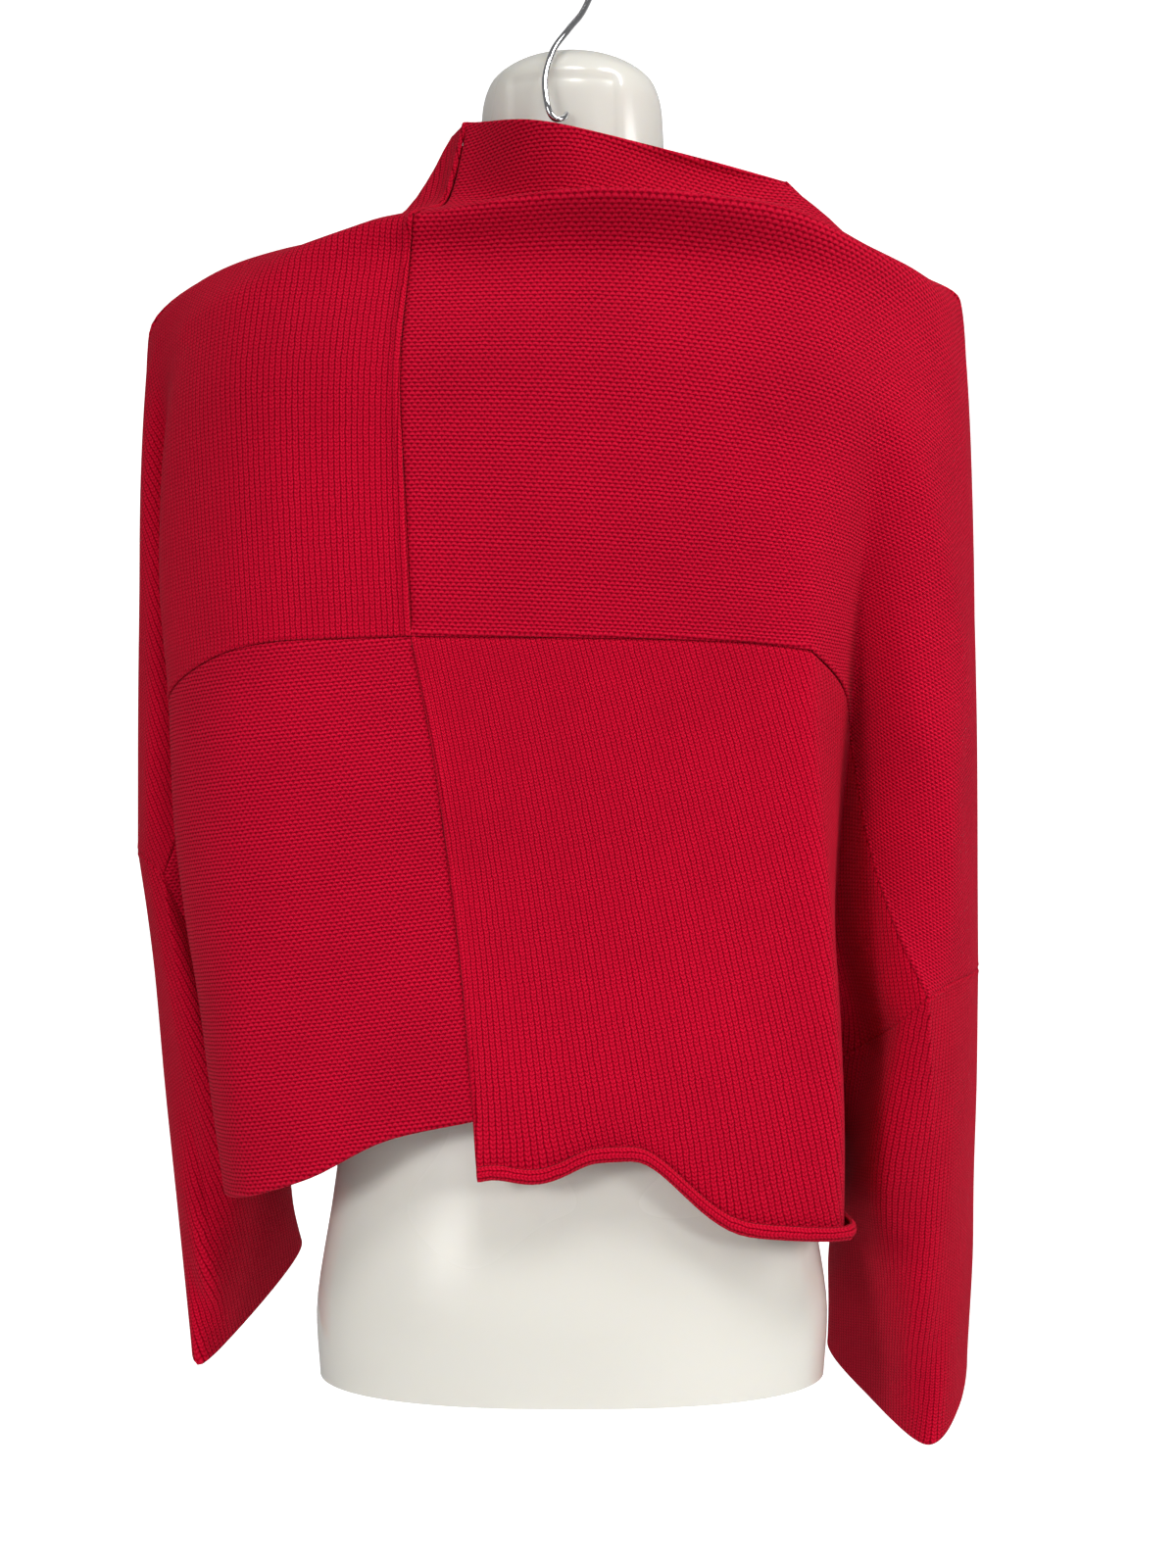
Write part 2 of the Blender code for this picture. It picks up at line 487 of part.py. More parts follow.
def build_form(finish):
    """The smooth torso form: a loft of superellipses with a domed neck and a flat base."""
    mesh = bmesh.new()
    rings = []
    table = np.array(FORM_SECTIONS, dtype=float)
    knots = np.arange(len(table), dtype=float)
    fine = along(knots, table, places_between(knots, [1] * (len(table) - 1)))
    for drop, half_width, half_depth, square in fine:
        ring = []
        for k in range(FORM_SIDES):
            angle = 2 * math.pi * k / FORM_SIDES
            c, s = math.cos(angle), math.sin(angle)
            x = math.copysign(abs(c) ** (2 / square), c) * half_width
            y = math.copysign(abs(s) ** (2 / square), s) * half_depth
            place = point(FORM_CENTRE[0] + x, FORM_CENTRE[1] + y, drop)
            ring.append(mesh.verts.new(tuple(place * MM)))
        rings.append(ring)
    for above, below in zip(rings, rings[1:]):
        for k in range(FORM_SIDES):
            n = (k + 1) % FORM_SIDES
            mesh.faces.new((above[k], below[k], below[n], above[n]))
    mesh.faces.new(rings[0])
    mesh.faces.new(rings[-1][::-1])
    bmesh.ops.recalc_face_normals(mesh, faces=mesh.faces)
    data = bpy.data.meshes.new("torso_form")
    mesh.to_mesh(data)
    mesh.free()
    data.materials.append(finish)
    data.shade_smooth()
    made = bpy.data.objects.new("torso_form", data)
    bpy.context.collection.objects.link(made)


def build_hook(finish):
    """The bent wire: up from the neck, then round an open bend whose inside is the origin."""
    route = [point(*entry) for entry in HOOK_ROUTE]
    radius = HOOK_BEND_RADIUS + HOOK_WIRE / 2
    for degrees in range(-20, 221, 20):
        angle = math.radians(degrees)
        route.append(np.array((radius * math.cos(angle), 0.0, radius * math.sin(angle) - HOOK_BEND_RADIUS)))
    route = np.array(route)
    knots = np.append(0.0, np.cumsum(np.linalg.norm(np.diff(route, axis=0), axis=1)))
    smooth = along(knots, route, places_between(knots, [2] * (len(route) - 1)))
    curve = bpy.data.curves.new("hook", "CURVE")
    curve.dimensions = "3D"
    curve.bevel_depth = HOOK_WIRE / 2 * MM
    curve.bevel_resolution = 2
    curve.use_fill_caps = True
    spline = curve.splines.new("POLY")
    spline.points.add(len(smooth) - 1)
    for slot, place in zip(spline.points, smooth):
        slot.co = (*(place * MM), 1.0)
    curve.materials.append(finish)
    made = bpy.data.objects.new("hook", curve)
    bpy.context.collection.objects.link(made)


def main():
    for old in list(bpy.data.objects):
        bpy.data.objects.remove(old, do_unlink=True)
    finishes = {
        "jersey": material("jersey_knit", COLOURS["jersey"], 0.85, 0.0),
        "purl": material("purl_knit", COLOURS["purl"], 0.9, 0.0),
    }
    build_garment(finishes)
    build_form(material("form_plastic", COLOURS["form"], 0.3, 0.0))
    build_hook(material("hook_chrome", COLOURS["chrome"], 0.1, 1.0))


main()
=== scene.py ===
"""Cropped sweater with a funnel neck on a hanging torso form.

Laid out as a Blender add-on: one operator for each group of pieces and one for the stage.
Tables give millimetres in the frame's own axes: x, y and the drop below the hook.
"""

import math

import bpy
import numpy as np
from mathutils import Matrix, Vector


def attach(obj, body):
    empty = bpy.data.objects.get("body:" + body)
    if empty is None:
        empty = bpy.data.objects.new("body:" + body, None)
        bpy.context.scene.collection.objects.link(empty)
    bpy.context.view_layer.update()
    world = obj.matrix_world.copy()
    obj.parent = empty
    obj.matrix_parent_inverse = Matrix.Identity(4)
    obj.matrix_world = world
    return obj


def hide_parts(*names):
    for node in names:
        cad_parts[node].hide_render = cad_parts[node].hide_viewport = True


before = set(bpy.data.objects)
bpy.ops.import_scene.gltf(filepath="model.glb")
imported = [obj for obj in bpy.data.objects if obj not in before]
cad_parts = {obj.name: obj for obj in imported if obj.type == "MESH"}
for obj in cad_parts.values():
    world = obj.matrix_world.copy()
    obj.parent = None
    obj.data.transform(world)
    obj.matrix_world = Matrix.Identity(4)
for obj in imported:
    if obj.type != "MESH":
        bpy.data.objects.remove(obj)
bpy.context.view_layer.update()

bl_info = {
    "name": "Cropped sweater",
    "version": (1, 0, 0),
    "blender": (4, 5, 0),
    "location": "View3D > Sidebar > Sweater",
    "description": "Builds a cropped knit sweater on a hanging torso form",
    "category": "Object",
}

MM = 0.001

# ---- how finely the cloth is sampled ----
MESH_STEP = 5.0           # millimetres between points across and down a panel
SMOOTHING_PASSES = 4      # rounds of averaging that soften the lines between stations
UNDERARM_EASE = 0.3       # how far a sleeve's lowest ring point moves towards its neighbours' mean
RING_ROWS = 3             # table rows of a lower panel that end on the sleeve seam
NECK_FORK_RIGHT = 2       # station where the right shoulder line leaves the neck edge
NECK_FORK_LEFT = 1        # the same on the left
EDGE_STEPS = (0.8, 1.6, 2.4, 3.4)  # distances from an edge that are sampled too, for its welt
EDGE_CLEAR = 0.8          # least distance from those samples to the next one
SECTION_SAMPLES = 24      # points between two entries of a sleeve section
WRAP = 8                  # columns of a sleeve that are repeated past its closing line
WELD = 0.00002            # metres within which points of one piece are joined

# ---- the form and the hook, in millimetres ----
HOOK_WIRE = 3.5           # diameter of the chrome wire
HOOK_BEND_RADIUS = 20.0   # inner radius of the hook's bend
HOOK_BEND_TURN = range(-20, 221, 20)  # degrees round the bend, from the wire's rise to its tip
HOOK_SAMPLES = 180        # points along the wire
HOOK_CREASE = 40          # degrees between faces from which their edge stays sharp
FORM_CENTRE = (3.0, 2.0)  # x and y of the form's axis
FORM_SIDES = 128          # points round the form
FORM_ROWS = 6             # rows from one of the form's sections to the next
FORM_CREASE = 50          # degrees between faces from which their edge stays sharp
RECESS = (-31.0, 28.0, 106.0)  # left, right and drop of the top of the recess in the neck
RECESS_DEPTH = 1.6
RECESS_EDGE = 2.0         # half the width of the recess's soft edge
RECESS_FOOT = (175.0, 185.0)   # drops between which the recess fades out

# ---- the photograph's view ----
CAMERA_PLACE = (0.012, -1.25, -0.495)
CAMERA_LENS = 50.625      # focal length in millimetres on the sensor below
CAMERA_SENSOR = 36.0

# Distances over the cloth, across from the vertical seam and down from the top
ACROSS_RIGHT = (0, 110, 180, 215, 255, 285, 340, 430, 510)
ACROSS_LEFT = (0, 28, 60, 95, 155, 195, 245, 320, 390)
DOWN_UPPER = (0, 38, 70, 92, 165, 228, 296)
DOWN_LOWER = (0, 62, 122, 187, 232, 280)

# ---- the garment's sections ----
# Each row is a course line of the cloth. Columns, each x, y, drop:
# seam, middle, neck side, fold, side, valley, sleeve inner, sleeve middle, sleeve seam
BACK_RIGHT_UPPER = (
    # neck edge, then shoulder line
    ((-56, -20, 127), (1, -67, 143), (124, -8, 157), (172, -12, 201), (203, -8, 211),
     (222, -2, 222), (229, 14, 300), (233, 40, 450), (226, 60, 606)),
    # crease under the neck
    ((-66, -42, 176), (8, -71, 190), (127, -32, 182), (170, -32, 204), (201, -22, 214),
     (220, -8, 226), (229, 4, 304), (234, 24, 452), (233, 38, 603)),
    # top of the roll fold
    ((-80, -93, 196), (26, -111, 184), (112, -101, 192), (158, -79, 208), (192, -50, 218),
     (214, -22, 233), (227, -6, 312), (232, 6, 455), (235, 14, 600)),
    # trough below the roll
    ((-82, -87, 213), (26, -90, 210), (108, -88, 216), (148, -81, 224), (184, -58, 235),
     (206, -38, 248), (222, -26, 325), (228, -22, 460), (230, -12, 599)),
    # shoulder blades
    ((-86, -106, 285), (25, -108, 285), (92, -105, 287), (125, -101, 290), (148, -94, 295),
     (168, -82, 302), (195, -72, 360), (218, -50, 470), (221, -38, 600)),
    ((-83, -108, 350), (25, -109, 350), (92, -106, 350), (127, -102, 352), (148, -88, 358),
     (162, -72, 368), (185, -74, 435), (205, -68, 525), (207, -62, 602)),
    # level seam, then the slanted seam on the sleeve
    ((-80, -106, 418), (25, -106, 419), (92, -104, 421), (128, -102, 425), (150, -68, 446),
     (156, -40, 468), (165, -52, 528), (178, -69, 575), (193, -78, 609)),
)
BACK_RIGHT_LOWER = (
    BACK_RIGHT_UPPER[-1],
    ((-68, -106, 480), (26, -105, 482), (94, -103, 484), (131, -102, 487), (147, -60, 500),
     (152, -26, 525), (161, -42, 572), (172, -57, 604), (181, -66, 622)),
    ((-60, -105, 540), (28, -104, 545), (96, -102, 548), (137, -101, 550), (145, -56, 565),
     (149, -20, 585), (155, -20, 606), (161, -19, 624), (167, -18, 640)),
    # underarm
    ((-52.5, -105, 605), (30, -103, 612), (98, -100, 616), (142, -97, 620), (148, -58, 630),
     (149, -34, 636), (149, -22, 642), (149, -11, 648), (148, 0, 654)),
    ((-48.5, -105, 655), (32, -102, 660), (100, -97, 670), (145, -92, 675), (149.5, -58, 685),
     (149, -36, 690), (148.5, -24, 692), (148, -12, 694), (147, 0, 695)),
    # hem
    ((-45.5, -106, 697), (34, -101, 687), (96, -91, 728), (146, -80, 733), (150, -52, 735),
     (149.5, -35, 736), (149, -23, 736), (148.5, -12, 736), (148, 0, 736)),
)
BACK_LEFT_UPPER = (
    ((-56, -20, 127), (-65, 0, 129), (-92, -22, 180), (-150, -38, 201), (-200, -22, 214),
     (-236, 0, 240), (-243, 26, 310), (-248, 60, 420), (-247, 100, 538)),
    ((-66, -42, 176), (-78, -38, 180), (-102, -46, 193), (-152, -54, 205), (-200, -38, 219),
     (-234, -8, 248), (-243, 14, 318), (-248, 42, 425), (-250, 68, 533)),
    ((-80, -93, 196), (-98, -88, 197), (-120, -83, 202), (-158, -70, 214), (-202, -46, 229),
     (-232, -14, 258), (-242, 4, 330), (-247, 28, 432), (-251, 44, 530)),
    ((-82, -87, 213), (-104, -86, 215), (-130, -85, 220), (-164, -82, 231), (-206, -54, 246),
     (-229, -16, 272), (-240, 0, 345), (-246, 18, 440), (-249, 32, 534)),
    ((-86, -106, 285), (-112, -106, 286), (-142, -103, 288), (-171, -95, 294), (-220, -42, 310),
     (-222, 0, 325), (-233, -2, 385), (-242, 10, 455), (-246, 22, 534)),
    ((-83, -108, 350), (-112, -108, 350), (-143, -105, 352), (-173, -95, 358), (-224, -34, 380),
     (-213, 8, 400), (-228, -1, 448), (-237, 4, 498), (-240, 12, 538)),
    ((-80, -106, 418), (-112, -106, 419), (-144, -104, 420), (-173, -94, 424), (-219, -32, 450),
     (-203, 14, 468), (-217, 8, 503), (-224, 5, 530), (-230, 6, 547)),
)
BACK_LEFT_LOWER = (
    BACK_LEFT_UPPER[-1],
    ((-68, -106, 480), (-106, -106, 483), (-142, -103, 487), (-173, -93, 492), (-217, -30, 508),
     (-196, 20, 525), (-207, 16, 550), (-213, 13, 565), (-218, 11, 575)),
    ((-60, -105, 540), (-102, -104, 545), (-140, -101, 550), (-173, -91, 556), (-210, -31, 568),
     (-186, 13, 578), (-191, 14, 587), (-195, 15, 593), (-199, 17, 598)),
    ((-52.5, -105, 605), (-100, -103, 606), (-138, -99, 610), (-173, -90, 614), (-201, -34, 618),
     (-183, -2, 614), (-179, 12, 614), (-175, 25, 615), (-172, 36, 616)),
    ((-50.3, -105, 635), (-97, -101, 640), (-136, -97, 650), (-172, -88, 660), (-194, -37, 668),
     (-178, -6, 671), (-173, 8, 672), (-168, 21, 672), (-164, 32, 672)),
    ((-47.7, -105.5, 668), (-92, -102, 678), (-134, -97, 699), (-168, -84, 711), (-186, -43, 717),
     (-174, -12, 719), (-170, 2, 719), (-166, 15, 719), (-162, 27, 719)),
)
FRONT_RIGHT_UPPER = (
    ((-58, 22, 134), (2, 62, 158), *BACK_RIGHT_UPPER[0][2:]),
    ((-64, 42, 168), (8, 76, 190), (128, 14, 184), (172, 8, 206), (203, 4, 215),
     (222, 6, 227), (228, 24, 304), (230, 54, 456), (216, 70, 613)),
    ((-74, 68, 190), (20, 92, 198), (122, 48, 202), (168, 32, 214), (200, 20, 221),
     (219, 14, 234), (224, 34, 314), (225, 66, 462), (204, 79, 620)),
    ((-80, 82, 212), (26, 94, 220), (112, 74, 222), (160, 54, 230), (192, 38, 238),
     (212, 26, 250), (217, 46, 330), (216, 76, 478), (194, 82, 626)),
    ((-85, 98, 285), (28, 106, 287), (98, 97, 289), (134, 86, 294), (158, 74, 300),
     (178, 64, 308), (200, 64, 380), (201, 82, 510), (184, 79, 630)),
    ((-83, 103, 350), (28, 110, 352), (98, 100, 354), (132, 86, 358), (150, 70, 364),
     (163, 56, 375), (182, 64, 440), (187, 78, 545), (176, 71, 635)),
    ((-80, 102, 418), (28, 110, 420), (98, 100, 422), (131, 86, 428), (147, 60, 442),
     (156, 38, 468), (166, 50, 540), (170, 58, 600), (168, 58, 640)),
)
FRONT_RIGHT_LOWER = (
    FRONT_RIGHT_UPPER[-1],
    ((-68, 100, 480), (28, 108, 484), (98, 99, 486), (132, 84, 490), (146, 52, 505),
     (152, 25, 528), (159, 36, 582), (162, 43, 617), (160, 43, 645)),
    ((-60, 98, 540), (28, 106, 545), (98, 97, 548), (134, 82, 552), (146, 46, 566),
     (149, 20, 588), (155, 21, 616), (160, 21, 636), (164, 20, 649)),
    ((-52.5, 97, 605), (30, 104, 612), (98, 95, 615), (137, 78, 620), (148, 50, 630),
     (149, 32, 636), (149, 21, 642), (149, 10.5, 648), (148, 0, 654)),
    ((-48.5, 96, 655), (32, 102, 662), (99, 93, 668), (140, 74, 674), (149.5, 48, 684),
     (149, 34, 690), (148.5, 23, 692), (148, 12, 694), (147, 0, 695)),
    ((-45.5, 95, 697), (34, 100, 710), (98, 90, 724), (139, 66, 733), (147, 44, 736),
     (148, 33, 736), (148, 22, 736), (148, 11, 736), (148, 0, 736)),
)
FRONT_LEFT_UPPER = (
    ((-58, 22, 134), *BACK_LEFT_UPPER[0][1:]),
    ((-64, 42, 168), (-76, 22, 172), (-98, 8, 192), (-150, -4, 206), (-198, 2, 219),
     (-234, 16, 248), (-240, 44, 320), (-243, 80, 430), (-240, 116, 546)),
    ((-74, 68, 190), (-90, 52, 196), (-112, 38, 204), (-156, 24, 215), (-200, 22, 228),
     (-231, 32, 258), (-234, 60, 334), (-235, 96, 442), (-230, 130, 555)),
    ((-80, 82, 212), (-102, 74, 217), (-126, 64, 223), (-162, 50, 233), (-200, 42, 246),
     (-224, 46, 272), (-228, 72, 350), (-224, 108, 458), (-218, 136, 564)),
    ((-85, 98, 285), (-112, 96, 287), (-140, 90, 291), (-168, 78, 298), (-190, 66, 310),
     (-204, 62, 325), (-216, 84, 400), (-211, 112, 500), (-206, 132, 578)),
    ((-83, 103, 350), (-112, 101, 352), (-142, 92, 356), (-168, 76, 362), (-184, 63, 374),
     (-195, 54, 390), (-205, 80, 460), (-204, 104, 540), (-198, 124, 588)),
    ((-80, 102, 418), (-112, 100, 420), (-141, 90, 423), (-164, 74, 428), (-178, 59, 442),
     (-187, 44, 466), (-196, 68, 520), (-196, 92, 568), (-190, 110, 597)),
)
FRONT_LEFT_LOWER = (
    FRONT_LEFT_UPPER[-1],
    ((-68, 100, 480), (-106, 98, 484), (-139, 88, 487), (-160, 72, 492), (-173, 57, 505),
     (-182, 42, 528), (-188, 57, 560), (-187, 73, 586), (-182, 88, 606)),
    ((-60, 98, 540), (-102, 96, 545), (-136, 86, 549), (-157, 70, 555), (-168, 55, 566),
     (-176, 46, 584), (-181, 46, 593), (-186, 47, 600), (-190, 48, 606)),
    ((-52.5, 97, 605), (-98, 94, 607), (-132, 85, 610), (-152, 71, 613), (-162, 59, 616),
     (-166, 54, 616), (-169, 48, 616), (-171, 42, 616), (-172, 36, 616)),
    ((-50.3, 96, 635), (-94, 92, 645), (-126, 83, 656), (-146, 68, 664), (-156, 55, 670),
     (-160, 47, 672), (-162, 42, 672), (-163, 37, 672), (-164, 32, 672)),
    ((-47.7, 95.5, 668), (-90, 92, 688), (-121, 81, 704), (-142, 64, 714), (-153, 50, 718),
     (-158, 42, 719), (-160, 37, 719), (-161, 32, 719), (-162, 27, 719)),
)
# Sleeve sections below the sleeve seam. Columns, each x, y, drop:
# inner, inner back, back ridge, outer back, outer, outer front, front, inner front
SLEEVE_RIGHT = (
    ((162, 26, 712), (165, -9, 708), (175, -45, 703), (212, -36, 692), (238, 38, 684),
     (229, 88, 690), (195, 108, 700), (165, 76, 708)),
    ((160, 76, 786), (171, 42, 788), (196, -14, 786), (222, 4, 771), (241, 66, 756),
     (231, 112, 754), (197, 130, 764), (164, 110, 776)),
    ((161, 114, 842), (177, 70, 857), (205, 10, 871), (228, 36, 857), (241, 90, 836),
     (232, 124, 830), (203, 140, 830), (174, 135, 834)),
)
SLEEVE_LEFT = (
    ((-176, 62, 690), (-186, 28, 690), (-198, 0, 684), (-220, 12, 668), (-238, 48, 655),
     (-236, 98, 655), (-212, 134, 668), (-178, 112, 682)),
    ((-170, 90, 752), (-184, 46, 762), (-204, 6, 766), (-220, 20, 756), (-230, 58, 742),
     (-228, 106, 734), (-206, 136, 736), (-178, 126, 742)),
    ((-167, 120, 783), (-185, 70, 806), (-209, 11, 825), (-219, 38, 815), (-225, 74, 800),
     (-222, 114, 788), (-202, 142, 780), (-179, 144, 778)),
)
# The torso form. Columns: drop, half width, half depth, squareness of the section
FORM_SECTIONS = (
    (83.3, 6, 6, 2.0), (85, 20, 20, 2.0), (91, 36, 36, 2.0), (101, 47, 46, 2.0),
    (116, 51, 50, 2.0), (140, 52, 49, 2.0), (165, 52, 46, 2.0), (184, 60, 50, 2.0),
    (198, 84, 58, 2.0), (207, 122, 62, 2.1), (216, 160, 67, 2.2), (228, 184, 74, 2.3),
    (250, 198, 84, 2.4), (290, 196, 92, 2.4), (350, 176, 95, 2.4), (418, 156, 94, 2.4),
    (500, 145, 88, 2.4), (590, 136, 81, 2.4), (655, 127, 77, 2.4), (720, 134, 82, 2.4),
    (790, 144, 90, 2.4), (825, 142, 89, 2.4),
)
# The hook's wire, from the neck up to the start of its bend. Columns: x, y, drop
HOOK_ROUTE = (
    (0.5, -49.8, 130.5), (-1.5, -54, 134), (-5.3, -57.3, 135.5), (-9.4, -58, 130),
    (-11.4, -54, 114.6), (-7.8, -48, 97), (1.2, -37, 80), (8.2, -24, 67), (13, -11, 53),
    (18.5, -3, 37),
)


# ---- surfaces from the tables ----
def point(x, y, drop):
    """A table entry as a place, in millimetres with z up."""
    return np.array((x, y, -drop), dtype=float)


def smooth_step(low, high, values):
    """0 below low and 1 above high, with a smooth rise between."""
    t = np.clip((values - low) / (high - low), 0, 1)
    return t * t * (3 - 2 * t)


def slopes(knots, values):
    """Slopes at the knots of a smooth curve that never overshoots its points."""
    steps = np.diff(knots)[:, None]
    rises = np.diff(values, axis=0) / steps
    result = np.zeros_like(values)
    before, after = rises[:-1], rises[1:]
    wide, narrow = 2 * steps[1:] + steps[:-1], steps[1:] + 2 * steps[:-1]
    same_way = before * after > 0
    safe_before = np.where(same_way, before, 1.0)
    safe_after = np.where(same_way, after, 1.0)
    mean = (wide + narrow) / (wide / safe_before + narrow / safe_after)
    result[1:-1] = np.where(same_way, mean, 0.0)
    result[0] = rises[0]
    result[-1] = rises[-1]
    return result


def along(knots, values, places, forks=()):
    """Values of the smooth curves through (knots, values), read at the places. forks
    gives (knot, line, weight) where lines of the values have a corner, sharpest at 1."""
    count = len(knots)
    flat = values.reshape(count, -1)
    arriving = slopes(knots, flat).reshape(values.shape)
    leaving = arriving.copy()
    for knot, line, weight in forks:
        before = (values[knot, line] - values[knot - 1, line]) / (knots[knot] - knots[knot - 1])
        after = (values[knot + 1, line] - values[knot, line]) / (knots[knot + 1] - knots[knot])
        arriving[knot, line] += weight * (before - arriving[knot, line])
        leaving[knot, line] += weight * (after - leaving[knot, line])
    arriving, leaving = arriving.reshape(count, -1), leaving.reshape(count, -1)
    which = np.clip(np.searchsorted(knots, places, side="right") - 1, 0, count - 2)
    step = (knots[which + 1] - knots[which])[:, None]
    t = ((places - knots[which])[:, None]) / step
    curve = (
        (2 * t**3 - 3 * t**2 + 1) * flat[which]
        + (t**3 - 2 * t**2 + t) * step * leaving[which]
        + (3 * t**2 - 2 * t**3) * flat[which + 1]
        + (t**3 - t**2) * step * arriving[which + 1]
    )
    return curve.reshape((len(places),) + values.shape[1:])


def lengths_along(points):
    """Distance of each point from the first, along the line through them. For the rows of a
    grid it is the mean of the columns."""
    steps = np.linalg.norm(np.diff(points, axis=0), axis=-1)
    return np.append(0.0, np.cumsum(steps.reshape(len(steps), -1).mean(axis=1)))


def fine_places(knots):
    """Sample places about MESH_STEP apart that include every knot."""
    runs = []
    for low, high in zip(knots, knots[1:]):
        runs.append(np.linspace(low, high, max(2, round((high - low) / MESH_STEP)), endpoint=False))
    return np.append(np.concatenate(runs), knots[-1])


def add_edge_rows(grid):
    """The grid with closer rows, EDGE_STEPS away from its first and its last row."""
    places = lengths_along(grid)
    beside = np.array(EDGE_STEPS)
    clear = beside[-1] + EDGE_CLEAR
    start, end = places[0], places[-1]
    middle = places[(places > start + clear) & (places < end - clear)]
    finer = [[start], start + beside, middle, (end - beside)[::-1], [end]]
    return along(places, grid, np.concatenate(finer))


def soften(grid):
    """The grid with its inside averaged, its four edges kept."""
    result = grid.copy()
    for _ in range(SMOOTHING_PASSES):
        inside = result[1:-1, 1:-1]
        mean = result[:-2, 1:-1] + result[2:, 1:-1] + result[1:-1, :-2] + result[1:-1, 2:]
        result[1:-1, 1:-1] = 0.5 * inside + 0.125 * mean
    return result


def panel_grid(values, half, across, top_fork, fold):
    """Fine grid of a table's stations, one row for each course line that is sampled. half is
    UPPER or LOWER, and fold an entry of SIDE_FOLDS."""
    down, end_fork, row_folds = half
    row_knots = np.array(down, dtype=float)
    column_knots = np.array(across, dtype=float)
    down_forks = [(row, slice(None), sharpness) for row, sharpness in row_folds]
    if end_fork:
        down_forks.append((end_fork, -1, 1.0))
    across_forks = []
    lines = fine_places(row_knots)
    if fold:
        station, start, full, sharpness = fold
        weights = sharpness * smooth_step(start, full, lines)
        across_forks.append((station, slice(None), weights[:, None]))
    if top_fork:
        across_forks.append((top_fork, 0, 1.0))
    rows = along(row_knots, values, lines, down_forks).transpose(1, 0, 2)
    return along(column_knots, rows, fine_places(column_knots), across_forks).transpose(1, 0, 2)


def closed_section(entries):
    """A closed smooth section through its entries, as (fractions, points)."""
    corners = np.array([point(*entry) for entry in entries])
    samples = []
    for i in range(len(corners)):
        a, b, c, d = (corners[(i + k) % len(corners)] for k in (-1, 0, 1, 2))
        for t in np.linspace(0, 1, SECTION_SAMPLES, endpoint=False):
            bend, twist = 2 * a - 5 * b + 4 * c - d, 3 * b - a - 3 * c + d
            samples.append(0.5 * (2 * b + (c - a) * t + bend * t**2 + twist * t**3))
    samples.append(samples[0])
    samples = np.array(samples)
    lengths = lengths_along(samples)
    return lengths / lengths[-1], samples


def read_section(section, fractions):
    """Points of a closed section at fractions of its length."""
    lengths, samples = section
    return np.stack([np.interp(fractions, lengths, samples[:, k]) for k in range(3)], axis=1)


def sleeve_grid(ring, table):
    """Fine grid of a sleeve, from the seam ring down to the cuff. The last column repeats
    the first."""
    loop = np.vstack([ring, ring[:1]])
    lengths = lengths_along(loop)
    fractions = lengths / lengths[-1]
    stations = np.array([loop] + [read_section(closed_section(row), fractions) for row in table])
    knots = lengths_along(stations)
    return along(knots, stations, fine_places(knots))


def diagonal_products(grid):
    """Cross products of the diagonals of each facet: along its normal, twice its area long."""
    return np.cross(grid[1:, 1:] - grid[:-1, :-1], grid[1:, :-1] - grid[:-1, 1:])


def facet_normals(grid, sign):
    """Unit normals of a grid's points, each the mean of the facets round it."""
    facets = sign * diagonal_products(grid)
    facets /= np.linalg.norm(facets, axis=2, keepdims=True)
    normals = np.zeros_like(grid)
    for rows in (slice(None, -1), slice(1, None)):
        for columns in (slice(None, -1), slice(1, None)):
            normals[rows, columns] += facets
    return normals / np.linalg.norm(normals, axis=2, keepdims=True)


def reach(grid, axis, backwards=False):
    """Distance over the cloth of each point from the grid's first line along the axis."""
    steps = np.linalg.norm(np.diff(grid, axis=axis), axis=2)
    if backwards:
        steps = np.flip(steps, axis=axis)
    start = np.zeros_like(np.take(steps, [0], axis=axis))
    total = np.concatenate([start, np.cumsum(steps, axis=axis)], axis=axis)
    return np.flip(total, axis=axis) if backwards else total


# ---- cloth pieces ----
# How an edge ends: radius of its roll in millimetres, degrees turned, and the side it turns to
HEM_ROLLED = (3.4, 262, 1)
HEM_TURNED = (1.8, 200, -1)
EDGE_FOLDED = (1.1, 180, -1)
ROLL_STEPS = 12           # rows in the roll of an edge

WELT_WIDTH = 3.4          # millimetres over which a welt rises and falls beside its edge
GROOVE_WIDTH = 1.8        # distance over which a groove grows shallow
GROOVE_FADE = 10.0        # distance over which the vertical seam's groove starts and ends

# Distances down a half of the body, its row where the sleeve seam ends, and the rows that
# fold, each with its sharpness: the top of the neck's roll and the trough below it
UPPER = (DOWN_UPPER, 0, ((2, 0.65), (3, 0.6)))
LOWER = (DOWN_LOWER, RING_ROWS, ())

# Where a panel turns from the back or the front to the side: station across, distance down
# where the fold starts, distance where it is full, sharpness
SIDE_FOLDS = {
    "back_upper_right": (3, 150, 296, 0.75),
    "back_lower_right": (3, -2, -1, 0.75),
    "front_upper_right": (3, 150, 296, 0.5),
    "front_lower_right": (3, -2, -1, 0.5),
}

# Where a hem hangs a little lower: x of its middle, half width and depth in millimetres
HEM_DROOPS = {"back_lower_right": (-12, 28, 6.5), "front_lower_right": (-5, 30, 4.0)}
DROOP_START = 0.6         # share of the panel's rows that stay as they are above the droop

# The quarters of the back and of the front: half, distances across, fork of the top row,
# finish of the top and the bottom edge, stitch
QUARTERS = {
    "upper_right": (UPPER, ACROSS_RIGHT, NECK_FORK_RIGHT, EDGE_FOLDED, None, "purl"),
    "lower_right": (LOWER, ACROSS_RIGHT, 0, None, HEM_ROLLED, "jersey"),
    "upper_left": (UPPER, ACROSS_LEFT, NECK_FORK_LEFT, EDGE_FOLDED, None, "jersey"),
    "lower_left": (LOWER, ACROSS_LEFT, 0, None, HEM_TURNED, "purl"),
}

